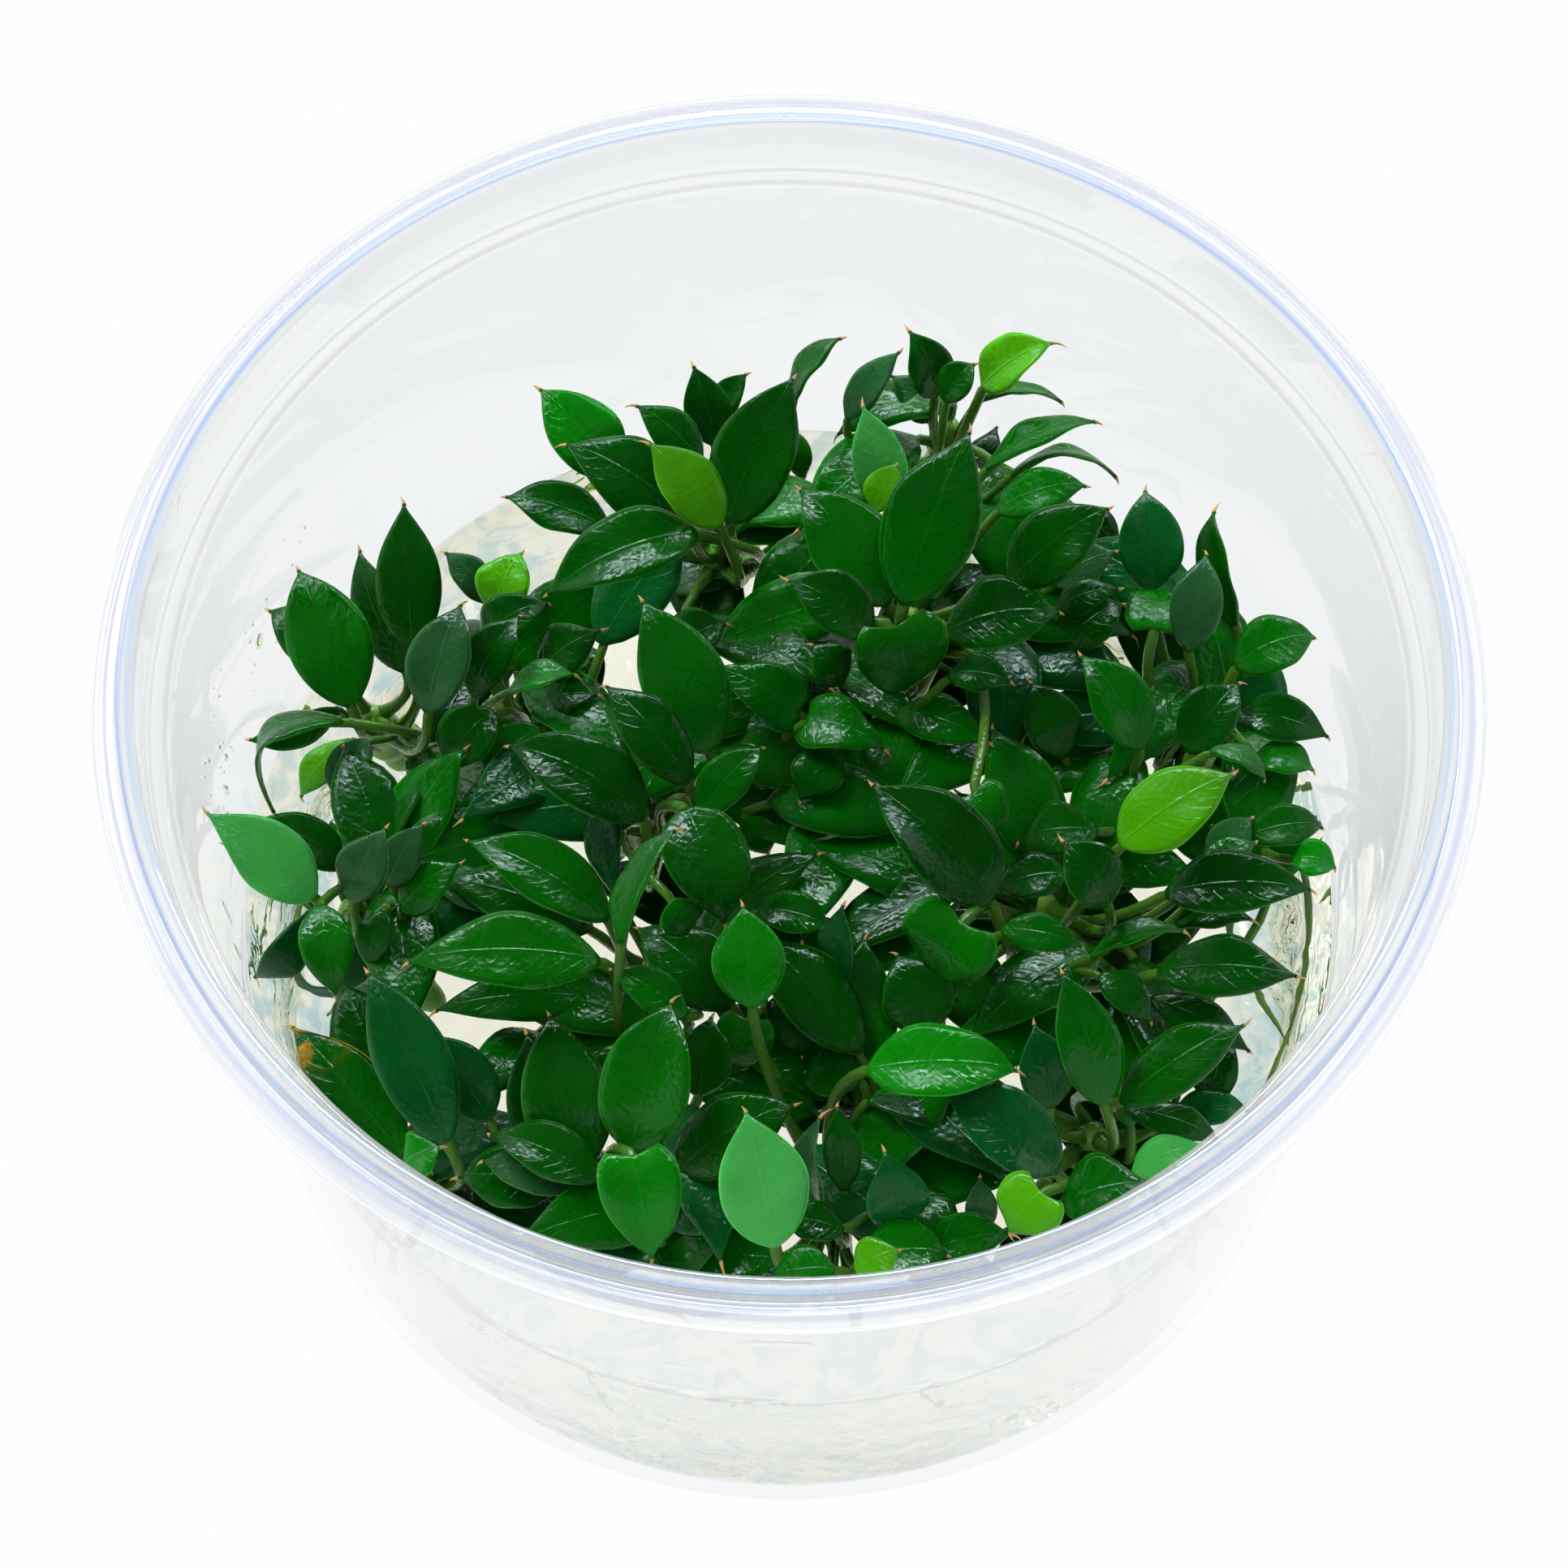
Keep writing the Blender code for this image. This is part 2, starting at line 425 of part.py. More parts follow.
def principled(name, colour, roughness):
    material = bpy.data.materials.new(name)
    material.use_nodes = True
    shader = material.node_tree.nodes["Principled BSDF"]
    shader.inputs["Base Color"].default_value = (*colour, 1.0)
    shader.inputs["Roughness"].default_value = roughness
    material.diffuse_color = (*colour, 1.0)
    return material


def add_mesh(name, mesh, collection, colour=None, roughness=0.4):
    """An object of its own for the mesh, with its own material unless it is a helper."""
    solid = bpy.data.objects.new(name, mesh)
    collection.objects.link(solid)
    if colour:
        mesh.materials.append(principled(name, colour, roughness))
    else:
        solid.hide_render = True
        solid.display_type = "WIRE"
    return solid


def solid_mesh(name, points, faces):
    """A mesh in metres with its faces out."""
    mesh = bpy.data.meshes.new(name)
    mesh.from_pydata([point * MM for point in points], [], faces)
    shape = bmesh.new()
    shape.from_mesh(mesh)
    bmesh.ops.recalc_face_normals(shape, faces=shape.faces[:])
    shape.to_mesh(mesh)
    shape.free()
    return mesh


def tube_mesh(name, points, radii, roundness):
    """A closed tube through the points, made as a curve and then a mesh with its caps welded."""
    curve = bpy.data.curves.new(name, "CURVE")
    curve.dimensions = "3D"
    curve.bevel_depth = MM
    curve.bevel_resolution = roundness
    curve.use_fill_caps = True
    spline = curve.splines.new("POLY")
    spline.points.add(len(points) - 1)
    for knot, point, radius in zip(spline.points, points, radii, strict=True):
        knot.co = (*(point * MM), 1.0)
        knot.radius = radius
    guide = bpy.data.objects.new(name, curve)
    bpy.context.scene.collection.objects.link(guide)
    graph = bpy.context.evaluated_depsgraph_get()
    mesh = bpy.data.meshes.new_from_object(guide.evaluated_get(graph))
    bpy.data.objects.remove(guide)
    bpy.data.curves.remove(curve)
    shape = bmesh.new()
    shape.from_mesh(mesh)
    bmesh.ops.remove_doubles(shape, verts=shape.verts[:], dist=1e-6)
    bmesh.ops.recalc_face_normals(shape, faces=shape.faces[:])
    bmesh.ops.triangulate(shape, faces=shape.faces[:])
    shape.to_mesh(mesh)
    shape.free()
    return mesh


def turned(name, profile, collection, colour, roughness):
    """A solid of revolution from (radius, height) pairs that start and end on the axis."""
    mesh = bpy.data.meshes.new(name)
    points = [Vector((radius, 0.0, height)) * MM for radius, height in profile]
    mesh.from_pydata(points, [(k, k + 1) for k in range(len(points) - 1)], [])
    solid = add_mesh(name, mesh, collection, colour, roughness)
    screw = solid.modifiers.new("turn", "SCREW")
    screw.axis = "Z"
    screw.steps = screw.render_steps = SIDES
    screw.use_merge_vertices = True
    screw.merge_threshold = 1e-6
    screw.use_smooth_shade = True
    return solid


def combine(solid, operation, helpers):
    """An exact Boolean with everything in the helpers' collection."""
    cut = solid.modifiers.new(operation.lower(), "BOOLEAN")
    cut.operation = operation
    cut.solver = "EXACT"
    cut.operand_type = "COLLECTION"
    cut.collection = helpers


def arc(centre, radius, start, end, count):
    """Points on an arc of a profile, from one angle to another in degrees."""
    angles = [math.radians(start + (end - start) * k / count) for k in range(count + 1)]
    return [(centre[0] + radius * math.cos(a), centre[1] + radius * math.sin(a)) for a in angles]


def cup_profile():
    """Up the inside from the floor, over the lip and down the outside to the underside."""
    inner_corner = CORNER - WALL
    foot = (inner_radius(CORNER) - inner_corner, FLOOR + inner_corner)
    inside = [(0.0, FLOOR)] + arc(foot, inner_corner, -90, -5, 3)
    step = WALL_TOP_HEIGHT - GAP
    inside += [(inner_radius(step), step), (NECK_RADIUS - NECK_WALL, step + WALL)]
    lip = [(NECK_RADIUS - 0.7, CUP_HEIGHT - 0.5), (NECK_RADIUS - 0.2, CUP_HEIGHT)]
    lip += [(NECK_RADIUS + 0.4, CUP_HEIGHT - 0.2), (NECK_RADIUS + 0.7, RIM_HEIGHT + 0.3)]
    rim = [(RIM_RADIUS - 0.4, RIM_HEIGHT + 0.5), (RIM_RADIUS, RIM_HEIGHT)]
    rim += [(RIM_RADIUS, RIM_HEIGHT - RIM_SKIRT), (RIM_RADIUS - 0.6, RIM_HEIGHT - RIM_SKIRT - 0.2)]
    rim += [(RIM_RADIUS - 0.9, RIM_HEIGHT - 0.6), (NECK_RADIUS + 0.2, RIM_HEIGHT - 0.9)]
    neck = [(NECK_RADIUS - 0.1, step + 1.6), (inner_radius(step) + WALL + 0.1, step)]
    corner = (inner_radius(CORNER) + WALL - CORNER, CORNER)
    outside = arc(corner, CORNER, -5, -90, 4) + [(0.0, 0.0)]
    return inside + lip + rim + neck + outside


def gel_profile():
    """From the middle of the top out to the wall, down it and back along the floor."""
    wall = inner_radius(GEL_LEVEL) - GAP
    top = [(0.0, GEL_LEVEL), (wall - 2.5, GEL_LEVEL), (wall - 0.8, GEL_LEVEL + MENISCUS / 3)]
    top += [(wall, GEL_LEVEL + MENISCUS)]
    inner_corner = CORNER - WALL - GAP
    foot = (inner_radius(CORNER) - GAP - inner_corner, FLOOR + GAP + inner_corner)
    return top + arc(foot, inner_corner, -5, -90, 3) + [(0.0, FLOOR + GAP)]


def beyond(points, extra):
    """The same run of points, carried a little past both ends."""
    first = points[0] + (points[0] - points[1]).normalized() * extra
    last = points[-1] + (points[-1] - points[-2]).normalized() * extra
    return [first, *points[1:-1], last]


def helper_collection(name):
    collection = bpy.data.collections.new(name)
    bpy.context.scene.collection.children.link(collection)
    return collection


def add_plantlet(name, plantlet, leaves, collection):
    """The rhizome with its roots and small leaves, as one solid."""
    mesh = tube_mesh(name, rhizome_points(plantlet), rhizome_radii(), 1)
    solid = add_mesh("plantlet_" + name, mesh, collection, TONES["rhizome"], 0.45)
    grown = helper_collection("grown_" + name)
    for number in range(len(plantlet.roots)):
        points = root_points(plantlet, number)
        radii = [ROOT_RADIUS] * (len(points) - 1) + [ROOT_RADIUS * 0.7]
        add_mesh(f"root_{name}_{number}", tube_mesh(name, points, radii, 0), grown)
    for number, leaf in enumerate(leaves):
        points, faces = loft(keeled(leaf_sections(leaf, -SUNK)))
        add_mesh(f"small_{name}_{number}", solid_mesh(name, points, faces), grown)
    combine(solid, "UNION", grown)


def add_gel(collection):
    gel = turned("nutrient_gel", gel_profile(), collection, TONES["gel"], 0.15)
    pockets = helper_collection("pockets")
    for name, plantlet in PLANTLETS.items():
        points = beyond(rhizome_points(plantlet), POCKET)
        radii = [radius + POCKET for radius in rhizome_radii()]
        add_mesh(f"pocket_{name}", tube_mesh(name, points, radii, 1), pockets)
        for number in range(len(plantlet.roots)):
            points = beyond(root_points(plantlet, number), POCKET)
            radii = [ROOT_RADIUS + POCKET] * len(points)
            add_mesh(f"pocket_{name}_{number}", tube_mesh(name, points, radii, 0), pockets)
    combine(gel, "DIFFERENCE", pockets)


def main():
    for thing in list(bpy.data.objects):
        bpy.data.objects.remove(thing)
    collection = helper_collection("dwarf_anubias")
    settled = settle()
    named, small = settled[: len(LEAVES)], settled[len(LEAVES) :]
    turned("cup", cup_profile(), collection, TONES["cup"], 0.1)
    add_gel(collection)
    for name, plantlet in PLANTLETS.items():
        add_plantlet(name, plantlet, [leaf for leaf in small if leaf.plantlet == name], collection)
        for number, leaf in enumerate([leaf for leaf in named if leaf.plantlet == name], 1):
            points, faces = loft(leaf_sections(leaf, GAP))
            mesh = solid_mesh(name, points, faces)
            add_mesh(f"leaf_{name}_{number}", mesh, collection, TONES[leaf.tone], 0.35)


if __name__ == "__main__":
    main()
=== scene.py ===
import math
from collections import namedtuple
from itertools import pairwise, product

import bpy
import numpy as np
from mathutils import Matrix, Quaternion, Vector
from mathutils.bvhtree import BVHTree


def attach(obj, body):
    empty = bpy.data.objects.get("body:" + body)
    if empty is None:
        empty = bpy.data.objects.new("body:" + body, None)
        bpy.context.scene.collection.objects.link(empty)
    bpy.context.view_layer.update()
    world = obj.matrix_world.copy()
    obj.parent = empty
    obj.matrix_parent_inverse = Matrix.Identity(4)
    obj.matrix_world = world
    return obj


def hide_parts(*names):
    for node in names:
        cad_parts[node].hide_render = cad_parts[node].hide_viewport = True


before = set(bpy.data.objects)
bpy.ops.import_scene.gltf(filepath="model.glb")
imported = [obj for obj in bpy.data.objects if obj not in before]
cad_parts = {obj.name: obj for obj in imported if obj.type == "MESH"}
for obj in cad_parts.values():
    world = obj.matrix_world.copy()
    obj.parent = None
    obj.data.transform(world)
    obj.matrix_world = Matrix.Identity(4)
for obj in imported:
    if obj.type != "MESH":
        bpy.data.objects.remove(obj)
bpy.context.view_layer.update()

# The tables below are in millimetres, with the cup's underside at height 0 and its axis at x = y = 0
MM = 0.001
# How far pieces stay apart, and the half of it that each carries while they are placed
GAP = 0.3
HALF_GAP = GAP / 2

# The cup
CUP_HEIGHT = 63.4
RIM_RADIUS = 50.0
RIM_HEIGHT = 61.9
RIM_SKIRT = 2.1
NECK_RADIUS = 47.6
NECK_WALL = 1.1
WALL_TOP_RADIUS = 45.7
WALL_FOOT_RADIUS = 41.0
WALL_TOP_HEIGHT = 57.0
WALL = 1.0
FLOOR = 1.2
CORNER = 5.0
TURN_SIDES = 160

# The gel
GEL_LEVEL = 25.0
MENISCUS = 0.8

# The plantlets
RHIZOME_RADIUS = 1.8
RHIZOME_REACH = 7.5
RHIZOME_DROP = 10.5
RHIZOME_STEPS = (0.0, 0.25, 0.5, 0.75, 1.0)
RHIZOME_TAPER = (0.6, 0.95, 1.0, 0.9, 0.6)
ROOT_RADIUS = 0.55
ROOT_SWAY = 0.12
STALK_RADIUS = 0.5
STALK_BEND = 0.45
STALK_SPRING = 0.3
BLADE_THICKNESS = 0.8
BLADE_THINNING = 0.6
BLADE_FOLD = 0.2
BLADE_FULLNESS = 0.75
SUNK = 0.8

# Leaf places are read on a level plane, seen from one point, and carried along that line of sight
EYE = Vector((-0.4, -190.5, 413.8))
READING_HEIGHT = 42.0

UP = Vector((0.0, 0.0, 1.0))

# How the blade's width runs: a higher power puts the widest place nearer the middle
FORMS = {"oval": 0.85, "slim": 0.95, "heart": 0.55}

Plantlet = namedtuple("Plantlet", "crown heading roots")
Leaf = namedtuple(
    "Leaf", "plantlet tone base tip width arch form roll spot turn sway", defaults=("oval", 0, 0, 0, 0)
)

# Where a root's bends and a leaf's sections lie along its length
ROOT_STEPS = (0.0, 0.2, 0.45, 0.7, 1.0)
STALK_STEPS = (0.0, 0.5, 1.0)
BLADE_STEPS = (0.12, 0.45, 0.8)

# A leaf that would cross another is moved by the first of these that clears it, in millimetres of height
SHIFTS = (0, -0.6, 0.6, -1.2, 1.2, -1.8, 1.8, -2.4, 2.4, -3.0, 3.0, -3.8, 3.8, -4.6, 4.6, -5.6, 5.6)
SPOTS = (0.06, 0.3, 0.15, 0.45)
TURNS = (0, 35, -35, 70, -70)
SWAYS = (0, 0.3, -0.3)
# No leaf reaches higher than this
LEAF_TOP = 61.0

# Each crown is where the leaves spring from; heading is the way the rhizome runs from there, and each
# root has its own heading, how far it strays and how high above the cup's underside it ends
PLANTLETS = {
    "left": Plantlet((-31.5, 7.5, 35), 20, ((215, 7, 9), (110, 7, 7))),
    "left_low": Plantlet((-32.5, -8.5, 35), -30, ((205, 6, 7), (160, 7, 12))),
    "left_back": Plantlet((-21.5, 8.5, 35), -40, ((100, 10, 9),)),
    "back_left": Plantlet((-5.5, 22, 37), 70, ((160, 11, 8),)),
    "back_right": Plantlet((12.5, 33, 37), 250, ((20, 8, 8),)),
    "back_middle": Plantlet((9, 16, 38), 60, ((140, 7, 9),)),
    "middle_left": Plantlet((-8, 0, 37), 160, ((190, 9, 8),)),
    "middle_low": Plantlet((-9.5, -13, 36), 200, ((240, 8, 7),)),
    "middle": Plantlet((19, -8, 37), 250, ((200, 8, 8),)),
    "right": Plantlet((30, 7, 36), 330, ((-50, 5, 12), (-78, 15, 9), (30, 4, 7))),
    "front_right": Plantlet((22, -27, 36), 45, ((-40, 6, 12), (10, 7, 8))),
    "front": Plantlet((3, -31, 36), 80, ((-30, 7, 8), (200, 8, 12))),
    "front_left": Plantlet((-13, -30, 36), 60, ((-100, 6, 8),)),
    "far_left": Plantlet((-26, -30, 36), 80, ((150, 4, 8),)),
}


def read_leaves(table):
    """A table of leaves, one in a row: the plantlet and the tone, the blade's foot and its tip, each as x, y
    and height, its width and its arch, and where they differ from the defaults the form and the roll."""
    leaves = []
    for row in table.strip().splitlines():
        plantlet, tone, *rest = row.split()
        numbers = [float(word) for word in rest[:8]]
        form, roll = rest[8:9], map(float, rest[9:])
        leaves.append(Leaf(plantlet, tone, numbers[:3], numbers[3:6], *numbers[6:], *form, *roll))
    return leaves


# The leaves that are pieces of their own
LEAVES = read_leaves("""
left mid -33 8 41 -37.5 20 45 6.4 1.2
left deep -28.5 13 43 -29.6 25.7 49 5 1
left grey -27.2 7.5 45 -25 16.8 48 4.8 1.5
left mid -33.5 6.7 41 -38.5 -1 36 4.8 4 oval -50
left_low light -35.2 -8 45 -43.4 -1 51 5.2 0.8 oval 10
left_back young -22.4 16.2 41 -20.5 21.4 43 4.4 1
left_back deep -23.8 9 43 -20.5 15.8 46 3.8 1.4
back_left fresh -13.3 28 43 -19.3 35.9 46 5.6 1
back_left deep -8.2 24.5 47 -17.2 31.2 51 6.2 1.2
back_left deep -13.9 23.4 42 -21.8 26.4 43 4.4 0.8
back_left young -5.3 23.7 50 -10.7 31 54 4.8 0.8
back_left mid -7.1 23 47 -18.4 17.7 46 6 2
back_left deep -4.6 23.9 48 0.3 37.1 55 6.4 1.2
back_right young 15.2 36.2 45 20.5 40.3 49 4.6 0.8
back_middle mid 15.3 28.8 44 23.8 33.1 47 3.6 1 slim 30
back_middle mid 8.7 16.8 51 14 32 57 7.4 1.4
back_middle mid 7.5 16.8 48 0.9 27.2 52 6.6 1.2
back_middle deep 17 18.7 47 24.6 25.4 51 5.8 1
back_middle mid 8 14.9 49 8.9 9.2 44 7.2 0.8 heart
back_middle mid 12 14.3 46 20.6 16.1 47 6 1.5
middle_left deep -7.7 -0.7 49 -4.6 -10.3 47 6.4 1.2
middle_left mid -5.9 4 46 -11.1 17.2 52 6.4 1.5
middle_left deep -7.6 1.5 47 -13.8 9.8 50 4.8 1.5
middle_left deep -10.7 -1.4 46 -21 4.6 48 6 2
middle_low mid -14 -13.3 49 -28.2 -13.2 51 6 1.6
middle_low mid -13.4 -9.8 44 -24 -3.2 47 5.2 1.6
front fresh -2.7 -17 47 -3.4 -8.8 50 5.4 0.8
middle deep 15 -8.4 47 6.3 1.3 52 7.2 1.5
middle mid 12.9 -10.2 49 10.7 -14.6 45 7.4 1 heart
middle young 24.7 -3.7 51 33.3 2.4 54 6 1
middle deep 28 -7.8 46 38.8 -7.4 48 5 1.4
middle deep 27.2 -14.2 46 37.4 -14.5 47 5 1.2
right dusk 27.7 18.2 42 27.5 27 46 5 1
right mid 33.9 11.4 46 40.1 14.1 47 4.8 1.4
front_right dusk 19.4 -30.2 44 11.4 -23.8 47 5.8 1.2
front_right mid 22.9 -24.8 46 20.2 -14.3 51 4.8 1.2
front_right deep 24.2 -24.8 45 33.4 -18.3 48 4.8 1.2
front fresh 5.8 -22.1 47 16.8 -22 48 6 1.2
front light -1 -36 46 -3.1 -25.4 51 6.6 1
front_left fresh -11.3 -28.9 48 -9.8 -37 44 6 1 heart
front_left deep -15.2 -30.2 42 -17.6 -17.5 47 6.6 1.4
front_left mid -11.3 -28.6 46 -8.7 -16.5 51 6.8 1.4
far_left dusk -24.8 -27.8 43 -31 -14.2 48 5.6 1.4
far_left edged -28 -29 42 -36.4 -18.6 45 5.6 1.2
""")

# The smaller leaves, grown onto their plantlet's rhizome as one piece with it
SMALL_LEAVES = read_leaves("""
left deep -34 11 36 -39.6 16.5 38 4.5 1
left deep -29 11 39 -33 21.5 44 4.2 0.8 oval 35
left grey -31.7 5 39 -34 0 37 3.4 1
left_low grey -32.4 -8.3 45 -30.1 -2.3 48 4 1
left_low deep -33.3 -5.5 40 -39.8 -1.4 44 3.8 1
left_low mid -34.8 -8.8 42 -33.3 -16.2 40 4 1.5
left_low mid -28.6 -9.2 42 -24.5 -5.2 45 4 1
left_back deep -22.9 13 41 -18.3 16.9 43 4 2
left_back deep -18.8 10.5 40 -14.3 14.5 43 4.6 1.2
left_back deep -22.3 7.5 40 -25.9 2.5 38 4.6 1
middle_left mid -18.7 6 41 -22.9 1.8 39 4.6 1
left_back deep -18.5 8 38 -14.4 9 40 3.4 0.8
back_left deep -5.7 31 42 -7.4 38 46 3.8 0.6
back_left deep -6.8 29.3 44 -11.8 34.6 47 3.6 0.8
back_right deep 11.4 35.4 44 9.5 41.3 49 3.8 1
back_right deep 11 33.2 42 8 37.2 45 3.6 0.8
back_middle light 7.6 25.3 45 5.8 34.3 50 4.2 0.8
back_middle mid 16.2 25 44 23 27.4 46 4 1.2
back_middle deep 6.2 14.2 44 0 19 47 4.8 1
back_middle mid 8.2 7.4 42 15.1 4.9 43 4 1
back_middle grey 20.3 18.6 43 25 21.4 45 3.8 0.8
back_middle deep 20.8 13 41 25.5 17 43 4.6 1
back_middle deep 4 10 43 1.8 13.4 45 3.6 0.8
middle_left mid -6.6 -1.2 43 -2 4.5 45 3.6 1
back_middle mid 0.7 7.4 43 -5.7 11.3 45 5 1 heart
middle_left deep -9 12 40 -4.7 15.3 42 4.6 1
middle_left mid 1.4 6.7 44 7.3 4.4 44 5 1 heart
back_middle deep 3.5 4 40 0.8 0 39 4.2 0.8
middle_low dusk -12.6 -8 40 -13.5 1.8 44 3.4 1 slim 45
middle_low deep -14.5 -16.3 41 -26 -17.2 42 4 1.2
middle_low mid -12.4 -11.8 51 -8.6 -2.3 54 4 1 slim 45
middle_left mid -8.6 -8.3 46 -7.5 -11.2 44 3.4 0.5
middle_low mid -2.2 -9.2 43 3.2 -10.7 43 3.4 1
front deep -4.2 -17 41 -11.2 -10.3 43 6 1.2
middle_low mid -3 -18 43 -3.6 -22.2 39 4.4 0.8 heart
middle_low deep 0.5 -16.5 40 1 -21 38 4.8 0.8 heart
front dusk 4.3 -15 42 4 -8.7 46 3.4 0.8 slim 55
back_middle mid 13.7 0.5 42 15.4 -3 40 4.4 0.8 heart
right deep 23 -2.6 42 17 -3.4 41 4.6 1
middle deep 23.6 -8.6 46 20.5 -3.4 49 4.6 1
middle deep 20.6 -6.2 43 15.5 -7.5 42 3.8 1
front deep 10.5 -19 40 8 -12.5 43 6 1
right deep 34 15 43 32.5 25 47 4 1 slim 55
right grey 30.3 12.8 45 32 21.2 48 4 1
right deep 33.7 7.1 44 40.6 5.4 44 3.8 1.2
right mid 27.8 14.6 48 28.3 18.1 45 4.8 0.8 heart
right mid 26.6 4.5 44 22.2 12.5 48 4.8 1.2
right deep 20.6 3.7 41 18.4 10 44 4.4 1
middle deep 30 4.2 44 34 10 46 4.4 1
right deep 34.2 -3.1 45 40 -2.1 45 3.4 1
front_right young 18.2 -31.8 48 15.7 -35 46 5.2 0.6 heart
front_right dusk 19 -25 43 18 -18.4 47 4 1
front_right mid 19.8 -32.8 42 26 -31 44 5.4 1
front deep 5.2 -23 43 1 -22 42 4.6 0.8
front dusk 8 -34.5 42 7 -28.6 47 4.6 1
front grey 2.5 -33.2 42 2.1 -25.9 47 4 0.8 slim 60
front mid -1 -37 41 -8.1 -37.6 40 4.4 1
front mid 3.2 -37.8 42 -1.6 -38.6 41 4 0.8
front mid 5.5 -37 42 11.5 -36.5 42 4.8 1
front young 4.9 -37.9 45 7.9 -36.2 46 3.4 0.6
front mid 10 -36.5 43 16 -35 44 4 0.8
front_left deep -17.2 -29.6 39 -19.2 -19.3 43 5 1
front_left deep -13.8 -30.8 44 -21.8 -27.1 45 4.2 1.2
front_left deep -17 -31.5 40 -24 -30.5 41 5 1
front_left grey -15.5 -31.5 42 -22.2 -29.3 43 3.6 1 slim
front_left young -14 -33 41 -17.3 -37.3 39 4.4 0.8
front_left deep -8 -30 43 0.4 -24.7 46 6 1.2
front_left deep -6.5 -24 40 -5.7 -17.8 43 4.2 0.8
far_left fresh -27.6 -29.6 46 -25.3 -28.2 47 3.6 0.5
far_left dusk -21.8 -26 41 -26.6 -19.2 44 4.6 1
""")

# The smallest leaves, which only the fine model has
TINY_LEAVES = read_leaves("""
left mid -34 7.7 39 -40.6 5 40 3 0.8 slim 60
left young -33 5 38 -36.6 0.3 36 2.8 1.2 slim
left grey -30.3 6 38 -29 0.7 38 3 0.8 oval 20
left_low deep -37 -6.5 41 -42 -3.6 45 3 0.8
left_low dusk -35.5 -9.4 40 -39.3 -14.6 37 3.2 2.5 slim 40
left_low grey -31.6 -11 38 -32.8 -15.9 37 2.6 0.8 slim 30
left_low deep -30 -9.3 38 -31 -14 36 2.8 0.8
left_low fresh -33 -6 38 -34.2 -1.8 39 3 0.6
left_low grey -29.6 -7 42 -27.3 -2 45 3.2 0.8
left_low deep -30 -4.7 41 -27 2.3 44 3 0.8 slim 40
left_low grey -25.8 -6.4 40 -21.5 -9.6 40 3.2 1
left_back grey -22.8 17 37 -26.3 21.4 40 3 0.8 slim
left_back fresh -21 9.2 43 -16.2 10.7 44 3 0.8 slim 20
back_left deep 0.2 34.5 43 4 40.8 47 3 1 slim 30
back_left deep -5.4 33.5 42 -3.3 37.4 45 2.6 0.5
back_left mid -5 23 44 -2.3 25.6 46 2.4 0.5 slim
back_left grey -4 19.6 39 -9.6 17.6 38 2.8 0.8
back_left deep 1 28 42 0 32.5 44 2.2 1 slim
back_right grey 4.6 33.4 43 8.6 39.4 47 3 0.8
back_right mid 15 35.2 43 21.3 34.8 43 2.4 0.8 slim 40
back_right mid 17.2 28.2 42 25.3 28 42 2.6 2 slim 40
back_right deep 12.2 35 44 14.5 38.4 46 3 0.6
back_middle young 6.7 25.1 49 8.3 29.2 51 3 0.5
back_middle deep 20.5 16.3 43 25.2 18.2 45 3 0.8
back_middle deep 12.2 10.6 41 16.8 10.1 42 3.2 0.8 slim
middle_left deep -3.2 -1.5 41 -1.4 -4.6 40 3.2 0.8
middle_low mid -7.6 -17.8 42 -13.1 -13.9 44 3.2 0.8
middle mid 15.8 -10.8 45 21.7 -12.1 45 3 0.8
middle mid 22.4 -13 45 29.2 -10.8 47 2.8 1 slim 30
middle grey 31.5 -5.6 44 34.6 -1.3 46 3.2 0.8
middle mid 30.8 -6 47 34.8 -3.4 48 3 0.8
middle deep 23 -14.5 42 26.6 -18.2 41 3 0.8
middle deep 26.6 -16.4 42 33.7 -20.6 41 3.2 1
right mid 35 3.4 44 39.5 2.7 44 3 1
right mid 31.8 4.2 47 35.8 1.8 46 2.4 1 slim 20
right fresh 37.6 -5 45 40.7 -5.6 45 3 0.8
right mid 25.4 2.6 43 21.8 1 42 2.6 0.6
front_right deep 24.4 -25.3 43 31.4 -27.7 43 2.8 1 slim
front_right dusk 28 -25.8 41 33.5 -25.2 42 3.2 0.8
front_right light 25 -30.2 43 30 -28 45 3.2 0.8
front_right grey 13.8 -34.6 42 13.8 -30.6 45 2.4 0.8 slim
front deep 5.8 -24.6 41 11.1 -26.9 41 2.4 0.8 slim 20
front deep 4 -31.5 41 3.5 -25 45 2.8 0.8 slim
front deep 3.8 -34.8 43 -0.5 -34 43 3.2 0.8
front_left dusk -8.4 -34.4 42 -4.2 -32.8 43 3.2 0.8
front_left grey -9.1 -35.4 41 -8.7 -30.8 44 2.4 0.6 slim
far_left light -31.4 -27.3 44 -32.2 -23.2 47 3.2 0.6
""")


def at_height(place):
    """Carries a place read on the level plane along the line of sight to its own height."""
    x, y, height = place
    read = Vector((x, y, READING_HEIGHT))
    return EYE + (read - EYE) * (height - EYE.z) / (READING_HEIGHT - EYE.z)


def along_bend(start, middle, end, t):
    return start * (1 - t) ** 2 + middle * 2 * t * (1 - t) + end * t**2


def blade_frame(leaf):
    """The blade's foot and tip, the direction across it and the one out of its upper face."""
    foot = at_height(leaf.base)
    tip = at_height(leaf.tip)
    along = (tip - foot).normalized()
    level = along.cross(UP).normalized()
    upper = level.cross(along)
    roll = math.radians(leaf.roll)
    across = level * math.cos(roll) + upper * math.sin(roll)
    return foot, tip, across, across.cross(along)


